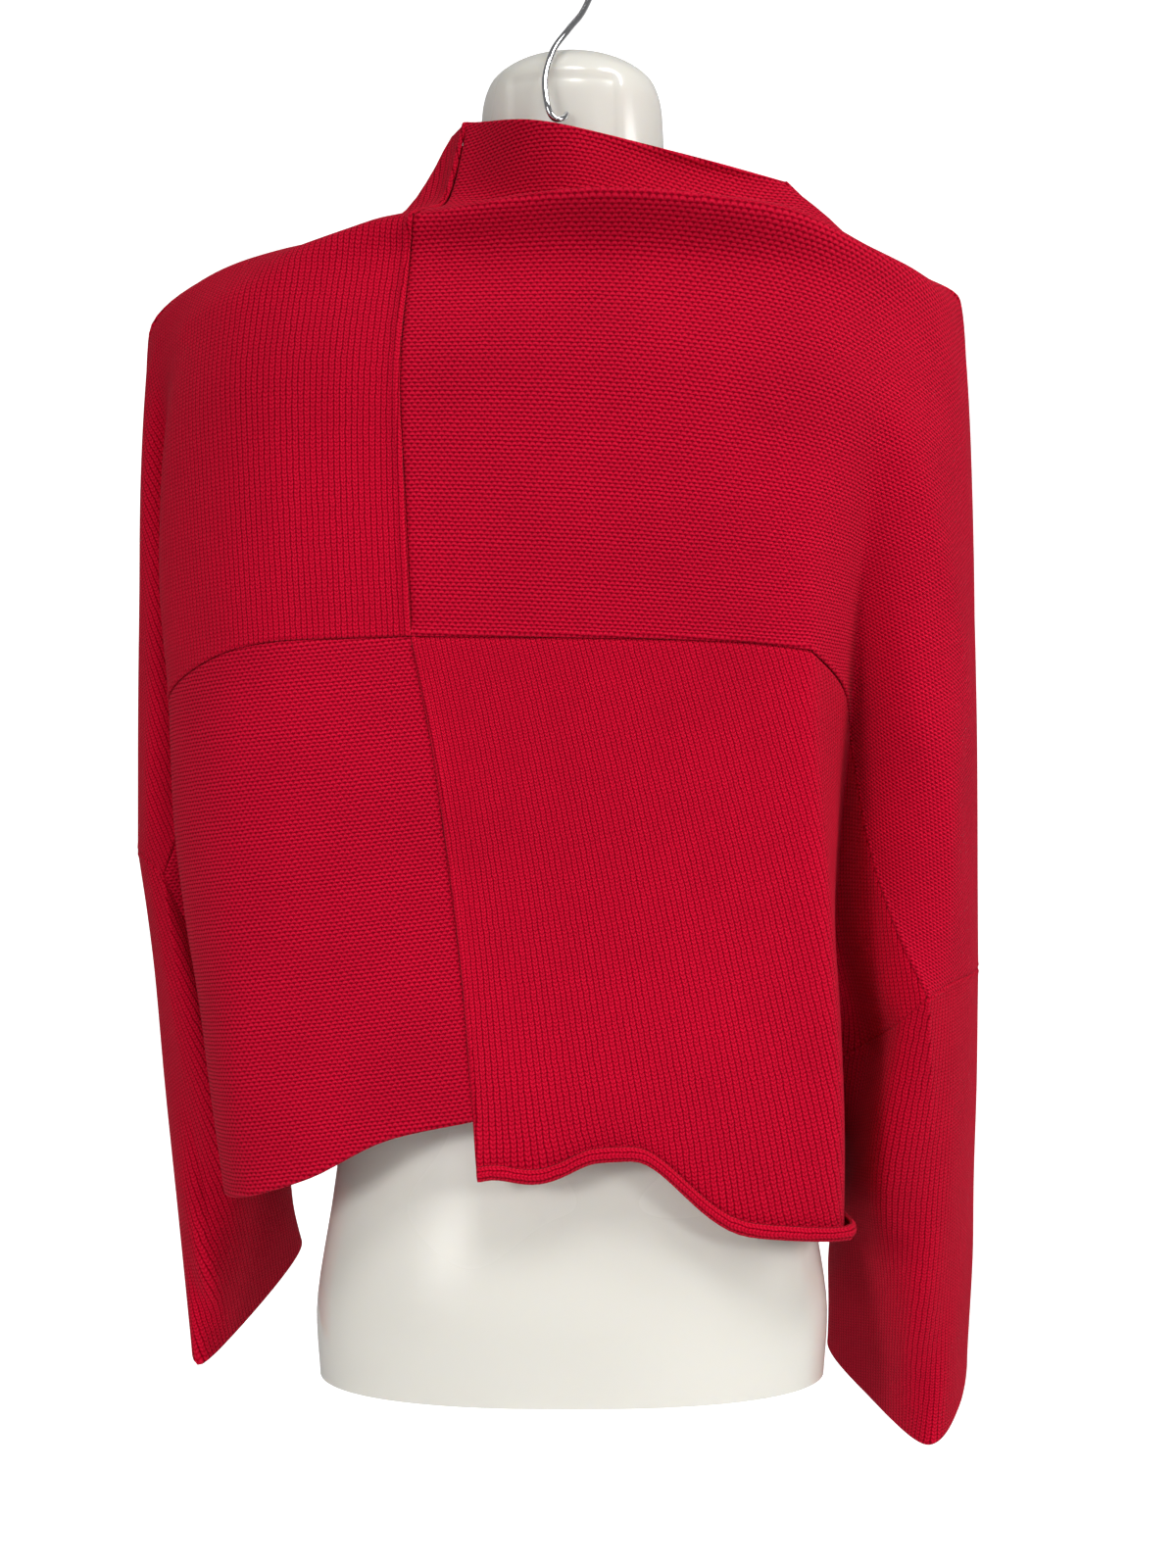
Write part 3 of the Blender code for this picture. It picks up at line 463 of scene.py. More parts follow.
# Heights of the welts and depths of the grooves in millimetres, each for the vertical seam,
# the end at the sleeve or the side, the top and the bottom
SEAM_RELIEF = {
    "upper_right": ((0.0, 0.3, 0.0, 0.7), (2.4, 0.4, 0.0, 0.2)),
    "lower_right": ((1.2, 0.3, 0.0, 0.0), (0.2, 0.4, 1.8, 0.0)),
    "upper_left": ((1.2, 0.3, 0.0, 0.6), (0.2, 0.4, 0.0, 0.3)),
    "lower_left": ((0.0, 0.3, 0.0, 0.0), (1.2, 0.4, 1.4, 0.0)),
    "sleeve": ((0.0, 0.0, 0.5, 0.0), (0.0, 0.0, 0.5, 0.0)),
}

# Each panel: table and side of the outer face
PANELS = {
    "back_upper_right": (BACK_RIGHT_UPPER, -1),
    "back_lower_right": (BACK_RIGHT_LOWER, -1),
    "front_upper_right": (FRONT_RIGHT_UPPER, 1),
    "front_lower_right": (FRONT_RIGHT_LOWER, 1),
    "back_upper_left": (BACK_LEFT_UPPER, 1),
    "back_lower_left": (BACK_LEFT_LOWER, 1),
    "front_upper_left": (FRONT_LEFT_UPPER, -1),
    "front_lower_left": (FRONT_LEFT_LOWER, -1),
}

# Each sleeve: side, table, side of the outer face, share of the way round where the wales run
# straight down
SLEEVES = (("right", SLEEVE_RIGHT, -1, 0.25), ("left", SLEEVE_LEFT, 1, 0.75))


def add_grid(name, grid):
    """A mesh grid with the given points, in millimetres. Its faces are in order, row by row."""
    rows, columns = grid.shape[:2]
    bpy.ops.object.select_all(action="DESELECT")
    bpy.ops.mesh.primitive_grid_add(x_subdivisions=columns - 1, y_subdivisions=rows - 1, size=1)
    made = bpy.context.object
    made.name = name
    made.data.name = name
    made.data.vertices.foreach_set("co", (grid * MM).reshape(-1))
    made.data.update()
    return made


def in_edit_mode(made, action):
    """Runs the action with all of the mesh selected in edit mode."""
    bpy.context.view_layer.objects.active = made
    bpy.ops.object.mode_set(mode="EDIT")
    bpy.ops.mesh.select_all(action="SELECT")
    action()
    bpy.ops.object.mode_set(mode="OBJECT")


def weld():
    """Joins the selected points that lie at one place."""
    bpy.ops.mesh.remove_doubles(threshold=WELD)


def unwrap():
    """Flattens the selected faces with the angles between their edges kept."""
    bpy.ops.uv.unwrap(method="CONFORMAL", fill_holes=False, margin=0.0)


def declare(made, material, node):
    """Gives a piece its material, hangs it on the root body, and hides the solid of the model that
    it stands for.
    """
    made.data.materials.clear()
    made.data.materials.append(material)
    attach(made, "root")
    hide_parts(node)


def read_uv(mesh):
    """The vertex and the UV of each face corner."""
    corner = np.zeros(len(mesh.loops), dtype=int)
    mesh.loops.foreach_get("vertex_index", corner)
    uv = np.zeros(len(mesh.loops) * 2)
    mesh.uv_layers.active.data.foreach_get("uv", uv)
    return corner, uv.reshape(-1, 2)


def write_uv(mesh, uv):
    """Gives each face corner its UV."""
    mesh.uv_layers.active.data.foreach_set("uv", uv.reshape(-1))


def double_area(grid):
    """Twice the area of the cloth of a grid."""
    return np.linalg.norm(diagonal_products(grid), axis=2).sum()


def flatten(made, grid, column):
    """Flattens the cloth to its cut in metres, the given column of the grid running down the
    wales."""
    rows, columns = grid.shape[:2]
    in_edit_mode(made, unwrap)
    corner, uv = read_uv(made.data)
    flat = np.zeros((rows * columns, 2))
    flat[corner] = uv
    flat = flat.reshape(rows, columns, 2)
    first, second = flat[1:, 1:] - flat[:-1, :-1], flat[1:, :-1] - flat[:-1, 1:]
    double_flat = abs((first[..., 0] * second[..., 1] - first[..., 1] * second[..., 0]).sum())
    flat *= math.sqrt(double_area(grid) / double_flat) * MM
    run = flat[-1, column] - flat[0, column]
    angle = -math.pi / 2 - math.atan2(run[1], run[0])
    cosine, sine = math.cos(angle), math.sin(angle)
    flat = (flat - flat[0, 0]) @ np.array([[cosine, sine], [-sine, cosine]])
    write_uv(made.data, flat.reshape(-1, 2)[corner])


def turn_stitches(mesh, grid, first_row):
    """Lets the wales run along the rolled hem from the given row down, as the stitches show."""
    columns = grid.shape[1]
    roll = grid[first_row:]
    lie = np.stack([reach(roll, 0), reach(roll, 1)], axis=2).reshape(-1, 2) * MM
    corner, uv = read_uv(mesh)
    face = np.arange(len(corner)) // 4
    turned = face // (columns - 1) >= first_row
    uv[turned] = lie[corner[turned] - first_row * columns]
    write_uv(mesh, uv)


def edge_relief(grid, normals, welts, grooves):
    """The grid with a raised welt beside each edge and a groove at the edge. The groove of the
    vertical seam fades out at the top and the bottom."""
    away = (reach(grid, 1), reach(grid, 1, True), reach(grid, 0), reach(grid, 0, True))
    fade = smooth_step(0, GROOVE_FADE, np.minimum(away[2], away[3]))
    height = np.zeros(grid.shape[:2])
    for index, (distance, welt, groove) in enumerate(zip(away, welts, grooves)):
        rise = np.clip(distance / WELT_WIDTH, 0, 1)
        height += welt * np.sin(math.pi * rise) ** 2 * (distance < WELT_WIDTH)
        height -= groove * np.exp(-((distance / GROOVE_WIDTH) ** 2)) * (fade if index == 0 else 1)
    return grid + normals * height[..., None]


def roll_edge(grid, normals, finish):
    """The grid with rows added below its last one, rolled round a small radius."""
    radius, degrees, side = finish
    down = grid[-1] - grid[-4]
    down /= np.linalg.norm(down, axis=1, keepdims=True)
    out = side * normals[-1]
    rows = []
    for i in range(1, ROLL_STEPS + 1):
        angle = math.radians(degrees * i / ROLL_STEPS)
        rows.append(grid[-1] + radius * (math.sin(angle) * down + (1 - math.cos(angle)) * out))
    return np.vstack([grid, rows])


def finish_cloth(made, knit, sign, node):
    if sign < 0:
        in_edit_mode(made, bpy.ops.mesh.flip_normals)
    in_edit_mode(made, weld)
    thickness = made.modifiers.new("thickness", "SOLIDIFY")
    thickness.thickness = bpy.context.scene.sweater_knit.thickness
    thickness.offset = 0.0
    thickness.use_even_offset = False
    bpy.ops.object.modifier_apply(modifier="thickness")
    bpy.ops.object.shade_smooth()
    declare(made, knit, node)


def stations(table):
    """A table's entries as places."""
    return np.array([[point(*entry) for entry in row] for row in table])


def quarter(name):
    """The quarter that a panel of the back or of the front is."""
    return name.split("_", 1)[1]


def panel_places(name):
    """Fine midline grid of a panel, softened inside its edges and closer beside them."""
    half, across, top_fork = QUARTERS[quarter(name)][:3]
    values = stations(PANELS[name][0])
    grid = soften(panel_grid(values, half, across, top_fork, SIDE_FOLDS.get(name)))
    if name in HEM_DROOPS:
        middle, half_width, depth = HEM_DROOPS[name]
        bell = np.clip(1 - ((grid[..., 0] - middle) / half_width) ** 2, 0, 1) ** 2
        share = np.linspace(0, 1, len(grid))
        grid[..., 2] -= depth * bell * smooth_step(DROOP_START, 1.0, share)[:, None]
    return add_edge_rows(add_edge_rows(grid).transpose(1, 0, 2)).transpose(1, 0, 2)


def build_panel(name, knits):
    """One knitted panel of the body, with its welts, edges and material."""
    sign = PANELS[name][1]
    top_edge, bottom_edge, stitch = QUARTERS[quarter(name)][3:]
    places = panel_places(name)
    normals = facet_normals(places, sign)
    grid = edge_relief(places, normals, *SEAM_RELIEF[quarter(name)])
    if top_edge:
        grid = roll_edge(grid[::-1], normals[::-1], top_edge)[::-1]
    flat_rows = len(grid)
    if bottom_edge:
        grid = roll_edge(grid, normals, bottom_edge)
    made = add_grid(name + "_knit", grid)
    flatten(made, grid, 0)
    if bottom_edge == HEM_ROLLED:
        turn_stitches(made.data, grid, flat_rows - 1)
    finish_cloth(made, knits[stitch], sign, name)
    return made


def seam_ring(parts):
    """Closed ring of points round a sleeve seam, from the underarm up the back and down the
    front of the end columns of the four panels."""
    back_upper, back_lower, front_upper, front_lower = (panel_places(part)[:, -1] for part in parts)
    seam_end = point(*PANELS[parts[1]][0][RING_ROWS][-1])
    underarm = int(np.argmin(np.linalg.norm(back_lower - seam_end, axis=1)))
    ring = np.vstack([
        back_lower[underarm:0:-1],
        back_upper[:0:-1],
        front_upper[:-1],
        front_lower[:underarm],
    ])
    ring[0] += UNDERARM_EASE * ((ring[1] + ring[-1]) / 2 - ring[0])
    return ring


def build_sleeve(name, parts, table, sign, column, knits):
    """A lower sleeve from the end columns of its four panels down to the open cuff."""
    places = sleeve_grid(seam_ring(parts), table)
    places = np.concatenate([places[:, -WRAP - 1:-1], places, places[:, 1:WRAP + 1]], axis=1)
    places = add_edge_rows(soften(places)[:, WRAP:-WRAP])
    places[:, -1] = places[:, 0]
    normals = facet_normals(places, sign)
    normals[:, 0] += normals[:, -1]
    normals[:, 0] /= np.linalg.norm(normals[:, 0], axis=1, keepdims=True)
    normals[:, -1] = normals[:, 0]
    grid = roll_edge(edge_relief(places, normals, *SEAM_RELIEF["sleeve"]), normals, EDGE_FOLDED)
    made = add_grid(name + "_knit", grid)
    flatten(made, grid, round(column * (grid.shape[1] - 1)))
    finish_cloth(made, knits["jersey"], sign, name)
    return made


# ---- the form and its hook ----
def close_ends():
    """Fills the open rims of the mesh in edit mode and turns its faces outwards."""
    bpy.ops.mesh.select_all(action="DESELECT")
    bpy.ops.mesh.select_non_manifold(extend=False)
    bpy.ops.mesh.fill_holes(sides=0)
    bpy.ops.mesh.select_all(action="SELECT")
    bpy.ops.mesh.normals_make_consistent(inside=False)


def build_form(plastic):
    """The smooth moulded torso form: a domed neck with its recess, and a flat base."""
    table = np.array(FORM_SECTIONS, dtype=float)
    last = len(table) - 1
    fine = along(np.arange(last + 1.0), table, np.linspace(0, last, FORM_ROWS * last + 1))
    angles = np.linspace(0, 2 * math.pi, FORM_SIDES + 1)
    cosine, sine = np.cos(angles), np.sin(angles)
    grid = np.zeros((len(fine), len(angles), 3))
    for row, (drop, half_width, half_depth, square) in zip(grid, fine):
        row[:, 0] = FORM_CENTRE[0] + np.sign(cosine) * np.abs(cosine) ** (2 / square) * half_width
        row[:, 1] = FORM_CENTRE[1] + np.sign(sine) * np.abs(sine) ** (2 / square) * half_depth
        row[:, 2] = -drop
    grid[:, -1] = grid[:, 0]
    made = add_grid("torso_form_shell", grid)
    in_edit_mode(made, weld)
    in_edit_mode(made, close_ends)
    press_recess(made.data)
    bpy.ops.object.shade_smooth_by_angle(angle=math.radians(FORM_CREASE))
    declare(made, plastic, "torso_form")
    return made


def press_recess(mesh):
    """Sinks a soft-cornered square into the side of the neck that the hook leaves."""
    places = np.zeros(len(mesh.vertices) * 3)
    mesh.vertices.foreach_get("co", places)
    places = places.reshape(-1, 3) / MM
    x, y, drop = places[:, 0], places[:, 1], -places[:, 2]
    left, right, top = RECESS
    depth = (y < 0) * (1 - smooth_step(*RECESS_FOOT, drop))
    depth = depth * smooth_step(top - RECESS_EDGE, top + RECESS_EDGE, drop)
    depth = depth * smooth_step(left - RECESS_EDGE, left + RECESS_EDGE, x)
    depth = depth * (1 - smooth_step(right - RECESS_EDGE, right + RECESS_EDGE, x))
    places[:, 1] += RECESS_DEPTH * depth
    mesh.vertices.foreach_set("co", (places * MM).reshape(-1))
    mesh.update()


def build_hook(chrome):
    """The bent wire: up from the neck, then round an open bend whose inside is the origin."""
    route = [point(*entry) for entry in HOOK_ROUTE]
    radius = HOOK_BEND_RADIUS + HOOK_WIRE / 2
    for degrees in HOOK_BEND_TURN:
        angle = math.radians(degrees)
        across, up = radius * math.cos(angle), radius * math.sin(angle) - HOOK_BEND_RADIUS
        route.append(np.array((across, 0.0, up)))
    route = np.array(route)
    knots = lengths_along(route)
    smooth = along(knots, route, np.linspace(0, knots[-1], HOOK_SAMPLES))
    curve = bpy.data.curves.new("hook_wire", "CURVE")
    curve.dimensions = "3D"
    curve.bevel_depth = HOOK_WIRE / 2 * MM
    curve.bevel_resolution = 5
    curve.use_fill_caps = True
    spline = curve.splines.new("POLY")
    spline.points.add(len(smooth) - 1)
    for corner, place in zip(spline.points, smooth):
        corner.co = (*(place * MM), 1.0)
    made = bpy.data.objects.new("hook_wire", curve)
    bpy.context.collection.objects.link(made)
    bpy.ops.object.select_all(action="DESELECT")
    made.select_set(True)
    bpy.context.view_layer.objects.active = made
    bpy.ops.object.convert(target="MESH")
    made = bpy.context.object
    bpy.ops.object.shade_smooth_by_angle(angle=math.radians(HOOK_CREASE))
    declare(made, chrome, "hook")
    return made


# ---- materials ----
class Graph:
    """Adds and joins nodes of one node tree."""

    def __init__(self, tree):
        self.tree = tree

    def fill(self, made, inputs):
        """The node, with each input joined to the output given for it or set to its value."""
        for key, value in inputs.items():
            if isinstance(value, bpy.types.NodeSocket):
                self.tree.links.new(value, made.inputs[key])
            else:
                made.inputs[key].default_value = value
        return made

    def node(self, kind, inputs=None, **settings):
        """A new node of the kind."""
        made = self.tree.nodes.new(kind)
        for key, value in settings.items():
            setattr(made, key, value)
        return self.fill(made, inputs or {})

    def math(self, operation, *inputs):
        """Result of a sum on outputs and numbers."""
        return self.node("ShaderNodeMath", dict(enumerate(inputs)), operation=operation).outputs[0]

    def add(self, first, second):
        return self.math("ADD", first, second)

    def subtract(self, first, second):
        return self.math("SUBTRACT", first, second)

    def multiply(self, first, second):
        return self.math("MULTIPLY", first, second)

    def smooth(self, value, ends):
        """0 at the first of the ends and 1 at the second, with a smooth rise between."""
        inputs = {"Value": value, "From Min": ends[0], "From Max": ends[1]}
        made = self.node("ShaderNodeMapRange", inputs, interpolation_type="SMOOTHSTEP")
        return made.outputs["Result"]

    def mix_colour(self, factor, first, second):
        """The first colour at factor 0 and the second at 1."""
        inputs = {0: factor, 6: first, 7: second}
        return self.node("ShaderNodeMix", inputs, data_type="RGBA").outputs[2]

    def noise(self, place, scale, detail, **settings):
        """Noise at the place, from 0 to 1."""
        inputs = {"Vector": place, "Scale": scale, "Detail": detail}
        return self.node("ShaderNodeTexNoise", inputs, **settings).outputs["Fac"]

    def object_place(self):
        """The place in the object's own space."""
        return self.node("ShaderNodeTexCoord").outputs["Object"]

    def bump(self, height, distance):
        """The normal turned by a height, whose full step is the distance in metres."""
        inputs = {"Height": height, "Distance": distance, "Strength": 1.0}
        return self.node("ShaderNodeBump", inputs).outputs["Normal"]


def new_group(name, inputs, outputs):
    """A shader node group with named sockets, as (tree, graph, inputs)."""
    tree = bpy.data.node_groups.new(name, "ShaderNodeTree")
    for sockets, way in ((inputs, "INPUT"), (outputs, "OUTPUT")):
        for label, kind in sockets:
            tree.interface.new_socket(label, in_out=way, socket_type="NodeSocket" + kind)
    graph = Graph(tree)
    return tree, graph, graph.node("NodeGroupInput").outputs


STITCH_INPUTS = (
    ("Cut place", "Vector"), ("Wale", "Float"), ("Course", "Float"), ("Unevenness", "Float"))
STITCH_STRAY = 160.0      # scale of the noise by which stitches stray

# A jersey leg: the slope and the start, in half turns, of the sine that rounds it across half a
# wale, the power that fills it out, and the courses that it rises across a wale. Its crown:
# the same power along the leg, and the share of the height that varies there
LEG_SPREAD, LEG_START, LEG_FULLNESS = 5 / 3, 1 / 6, 0.9
LEG_RISE = 1.1
CROWN_FULLNESS, CROWN_SHARE = 0.8, 0.8
LEAST_BASE = 0.001        # least value that is raised to a power

# A purl arc: its bend, the place of its middle in the course, the distances from its middle
# where it ends and where it is full, across and along, and the share of the height that varies
# along it
ARC_BEND, ARC_MIDDLE = 1.3, 0.62
ARC_ACROSS, ARC_ALONG = (0.56, 0.1), (0.52, 0.24)
ARC_SHARE = 0.5

# The yarn's colour: scales and detail of its slow and fine noise, how far these change it, the
# stitch heights where the painted groove shade and the painted crest highlight fade, and how strong
# the painted crest highlight is
YARN_NOISES = ((14.0, 3.0), (900.0, 1.0))
YARN_CHANGE = 0.3
GROOVE_SHADE_HEIGHTS, CREST_HIGHLIGHT_HEIGHTS, CREST_HIGHLIGHT_STRENGTH = (0.0, 0.55), (0.6, 1.0), 0.35
YARN_ROUGHNESS = (0.95, 0.15)     # in the grooves, and how much less on the crests

PLASTIC_SHADE = 0.9       # share of the plastic's colour that its darkest waves have


def stitch_place(graph, inputs):
    """Place counted in wales and in courses, with the knit's own unevenness."""
    place = inputs["Cut place"]
    stray = graph.noise(place, STITCH_STRAY, detail=1.0, noise_dimensions="2D")
    shift = graph.multiply(graph.subtract(stray, 0.5), inputs["Unevenness"])
    apart = graph.node("ShaderNodeSeparateXYZ", {0: place}).outputs
    wales = graph.add(graph.math("DIVIDE", apart["X"], inputs["Wale"]), shift)
    courses = graph.add(graph.math("DIVIDE", apart["Y"], inputs["Course"]), shift)
    return wales, courses


def from_middle(graph, wales):
    """Distance in wales from the middle of the wale that a place is in."""
    return graph.math("ABSOLUTE", graph.subtract(graph.math("FRACT", wales), 0.5))


def rounded(graph, turn, power):
    """Sine of half turns, raised to a power."""
    sine = graph.math("SINE", graph.multiply(turn, math.pi))
    return graph.math("POWER", graph.math("MAXIMUM", sine, LEAST_BASE), power)


def part_varied(graph, value, share):
    """1 where the value is 1, and less by the share where it is 0."""
    return graph.add(graph.multiply(value, share), 1 - share)


def jersey_group():
    """Height of plain knit, whose wales are columns of slanted stitch legs."""
    tree, graph, inputs = new_group("jersey_stitches", STITCH_INPUTS, (("Height", "Float"),))
    wales, courses = stitch_place(graph, inputs)
    aside = from_middle(graph, wales)
    leg = rounded(graph, graph.add(graph.multiply(aside, LEG_SPREAD), LEG_START), LEG_FULLNESS)
    slant = graph.math("FRACT", graph.subtract(courses, graph.multiply(aside, LEG_RISE)))
    crown = part_varied(graph, rounded(graph, slant, CROWN_FULLNESS), CROWN_SHARE)
    graph.node("NodeGroupOutput", {"Height": graph.multiply(leg, crown)})
    return tree


def purl_group():
    """Height of reverse knit, whose courses are rows of short arcs set like bricks."""
    tree, graph, inputs = new_group("purl_stitches", STITCH_INPUTS, (("Height", "Float"),))
    wales, courses = stitch_place(graph, inputs)
    odd = graph.math("FLOORED_MODULO", graph.math("FLOOR", courses), 2.0)
    aside = from_middle(graph, graph.add(wales, graph.multiply(odd, 0.5)))
    arc = graph.multiply(graph.multiply(aside, aside), ARC_BEND)
    level = graph.subtract(graph.add(graph.math("FRACT", courses), arc), ARC_MIDDLE)
    across = graph.smooth(graph.math("ABSOLUTE", level), ARC_ACROSS)
    dash = part_varied(graph, graph.smooth(aside, ARC_ALONG), ARC_SHARE)
    graph.node("NodeGroupOutput", {"Height": graph.multiply(across, dash)})
    return tree


def yarn_group():
    """Colour of the yarn from the stitch height: painted shade in the grooves, a painted highlight
    on the crests, and a little uneven.
    """
    tree, graph, inputs = new_group(
        "yarn_colour",
        (("Height", "Float"), ("Yarn", "Color"), ("Groove", "Color"), ("Crest", "Color")),
        (("Colour", "Color"), ("Roughness", "Float")),
    )
    height, place = inputs["Height"], graph.object_place()
    # Painted shade: the groove colour darkens the yarn deep between the stitches
    body = graph.smooth(height, GROOVE_SHADE_HEIGHTS)
    colour = graph.mix_colour(body, inputs["Groove"], inputs["Yarn"])
    # Painted highlight: the crest colour lightens the tops of the stitches
    crest = graph.multiply(graph.smooth(height, CREST_HIGHLIGHT_HEIGHTS), CREST_HIGHLIGHT_STRENGTH)
    colour = graph.mix_colour(crest, colour, inputs["Crest"])
    slow, fine = (
        graph.add(graph.multiply(graph.noise(place, *noise), YARN_CHANGE), 1 - YARN_CHANGE / 2)
        for noise in YARN_NOISES)
    scaled = {0: colour, "Scale": graph.multiply(slow, fine)}
    shade = graph.node("ShaderNodeVectorMath", scaled, operation="SCALE").outputs[0]
    rough = graph.subtract(YARN_ROUGHNESS[0], graph.multiply(height, YARN_ROUGHNESS[1]))
    graph.node("NodeGroupOutput", {"Colour": shade, "Roughness": rough})
    return tree


def principled(name):
    """A new material as (material, graph, shader)."""
    made = bpy.data.materials.new(name)
    made.use_nodes = True
    return made, Graph(made.node_tree), made.node_tree.nodes["Principled BSDF"]


def knit_material(stitch, stitches, yarn):
    """Crimson knit: stitches from the cut's UV map, painted shade in their grooves and a painted
    highlight on their crests, soft sheen, and the bump of the yarn.
    """
    settings = bpy.context.scene.sweater_knit
    made, graph, shader = principled("crimson_" + stitch)
    cut = graph.node("ShaderNodeUVMap", uv_map="UVMap")
    height = graph.node("ShaderNodeGroup", node_tree=stitches)
    graph.fill(height, {"Cut place": cut.outputs["UV"], "Wale": settings.wale})
    graph.fill(height, {"Course": settings.course, "Unevenness": settings.unevenness})
    height = height.outputs["Height"]
    # The yarn's colour, with painted shade in the grooves and a painted highlight on the crests
    tint = graph.fill(graph.node("ShaderNodeGroup", node_tree=yarn), {
        "Height": height,
        "Yarn": (*getattr(settings, stitch + "_colour"), 1.0),
        "Groove": (*getattr(settings, stitch + "_groove"), 1.0),
        "Crest": (*settings.crest_painted_highlight, 1.0),
    })
    graph.fill(shader, {
        "Base Color": tint.outputs["Colour"],
        "Roughness": tint.outputs["Roughness"],
        "Normal": graph.bump(height, getattr(settings, stitch + "_depth")),
        "Specular IOR Level": 0.04,
        "Sheen Weight": settings.fuzz,
        "Sheen Roughness": 0.45,
        "Sheen Tint": (1.0, 0.3, 0.38, 1.0),
    })
    return made


def two_tones(graph, noise, dark, light):
    """Colour between dark and light, by the noise."""
    tones = graph.node("ShaderNodeValToRGB", {"Fac": noise})
    for element, colour in zip(tones.color_ramp.elements, (dark, light)):
        element.color = (*colour, 1.0)
    return tones.outputs["Color"]


def form_material(settings):
    """Off-white moulded plastic: glossy, faintly see-through, with slow waves in its skin."""
    made, graph, shader = principled("moulded_plastic")
    waves = graph.noise(graph.object_place(), scale=12.0, detail=0.0)
    dark = [PLASTIC_SHADE * channel for channel in settings.plastic]
    graph.fill(shader, {
        "Base Color": two_tones(graph, waves, dark, settings.plastic),
        "Normal": graph.bump(waves, distance=0.00015),
        "Roughness": graph.add(graph.multiply(waves, 0.12), 0.2),
        "Coat Weight": 0.4,
        "Coat Roughness": 0.12,
        "Subsurface Weight": 0.2,
        "Subsurface Radius": (0.01, 0.008, 0.005),
        "Subsurface Scale": 1.0,
    })
    return made


def chrome_material():
    """Bright chrome with faint drawing lines."""
    made, graph, shader = principled("bright_chrome")
    scratches = graph.noise(graph.object_place(), scale=300.0, detail=2.0)
    graph.fill(shader, {
        "Base Color": two_tones(graph, scratches, (0.62, 0.62, 0.64), (0.86, 0.86, 0.88)),
        "Roughness": graph.add(graph.multiply(scratches, 0.08), 0.05),
        "Metallic": 1.0,
    })
    return made


def paper_material(settings):
    """The matt paper of the floor, which glows a little where the camera sees it."""
    made, graph, shader = principled("stage_paper")
    seen = graph.node("ShaderNodeLightPath").outputs["Is Camera Ray"]
    graph.fill(shader, {
        "Base Color": (*settings.floor, 1.0),
        "Roughness": 0.8,
        "Emission Color": (1.0, 1.0, 1.0, 1.0),
        "Emission Strength": graph.multiply(seen, settings.paper_glow),
    })
    return made


def knits():
    """The jersey and purl materials, made on first use."""
    made = {stitch: bpy.data.materials.get("crimson_" + stitch) for stitch in ("jersey", "purl")}
    if not all(made.values()):
        yarn = yarn_group()
        made["jersey"] = knit_material("jersey", jersey_group(), yarn)
        made["purl"] = knit_material("purl", purl_group(), yarn)
    return made


# ---- settings ----
def number(name, description, default, **options):
    """A setting that is a number."""
    return bpy.props.FloatProperty(name=name, description=description, default=default, **options)


def metres(name, description, default):
    """A setting in metres."""
    return number(name, description, default, unit="LENGTH", precision=5)


def watts(name, description, default):
    """A setting in watts."""
    return number(name, description, default, unit="POWER")


def rgb(name, description, default):
    """A setting that is a colour."""
    return bpy.props.FloatVectorProperty(
        name=name, description=description, default=default, subtype="COLOR")


class KnitSettings(bpy.types.PropertyGroup):
    wale: metres("Wale", "Width of one column of stitches", 0.003)
    course: metres("Course", "Height of one row of stitches", 0.00205)
    unevenness: number("Unevenness", "How far stitches stray, in stitches", 0.35)
    thickness: metres("Thickness", "Thickness of the knit", 0.0016)
    jersey_depth: metres("Jersey depth", "Depth between jersey stitches", 0.0005)
    purl_depth: metres("Purl depth", "Depth between purl arcs", 0.0005)
    fuzz: number("Fuzz", "Strength of the soft sheen of short fibres", 0.07, subtype="FACTOR")
    jersey_colour: rgb("Jersey colour", "Yarn colour on the smooth face", (0.52, 0.001, 0.02))
    purl_colour: rgb("Purl colour", "Yarn colour on the bumpy face", (0.48, 0.001, 0.019))
    # Painted shade: the groove colours darken the yarn deep between the stitches
    jersey_groove: rgb("Jersey groove", "Colour deep between jersey stitches", (0.12, 0.0, 0.004))
    purl_groove: rgb("Purl groove", "Colour deep between purl arcs", (0.2, 0.0, 0.008))
    # Painted highlight: the crest colour lightens the tops of the stitches
    crest_painted_highlight: rgb("Crest colour", "Colour on top of the stitches", (0.78, 0.015, 0.06))


class FormSettings(bpy.types.PropertyGroup):
    plastic: rgb("Plastic", "Colour of the moulded form", (0.82, 0.8, 0.73))


class StageSettings(bpy.types.PropertyGroup):
    floor: rgb("Floor", "Colour of the floor and backdrop", (0.85, 0.85, 0.85))
    left_power: watts("Left light", "Power of the soft light left of the camera", 13.0)
    right_power: watts("Right light", "Power of the soft light at the right", 18.0)
    front_power: watts("Front light", "Power of the soft light above the camera", 20.0)
    top_power: watts("Top light", "Power of the soft light above the right shoulder", 13.0)
    body_power: watts("Body light", "Power of the lights that end below the neck", 76.0)
    paper_glow: number("Paper glow", "The floor's own light, which only the camera sees", 0.8)
    world_strength: number("Surround", "Strength of the even light from all round", 0.18)


# ---- stage, in metres ----
FLOOR_WIDTH, FLOOR_RUN, FLOOR_STEPS = 9.0, 7.0, 40
FLOOR_NEAR, FLOOR_HEIGHT = -2.4, -1.35
FLOOR_FLAT = 4.0          # length of the floor in front of its bend
BEND_RUN, BEND_RADIUS = 1.2, 0.76
BACKDROP_STRETCH = 1.6    # metres that the backdrop rises for each metre of run past the bend

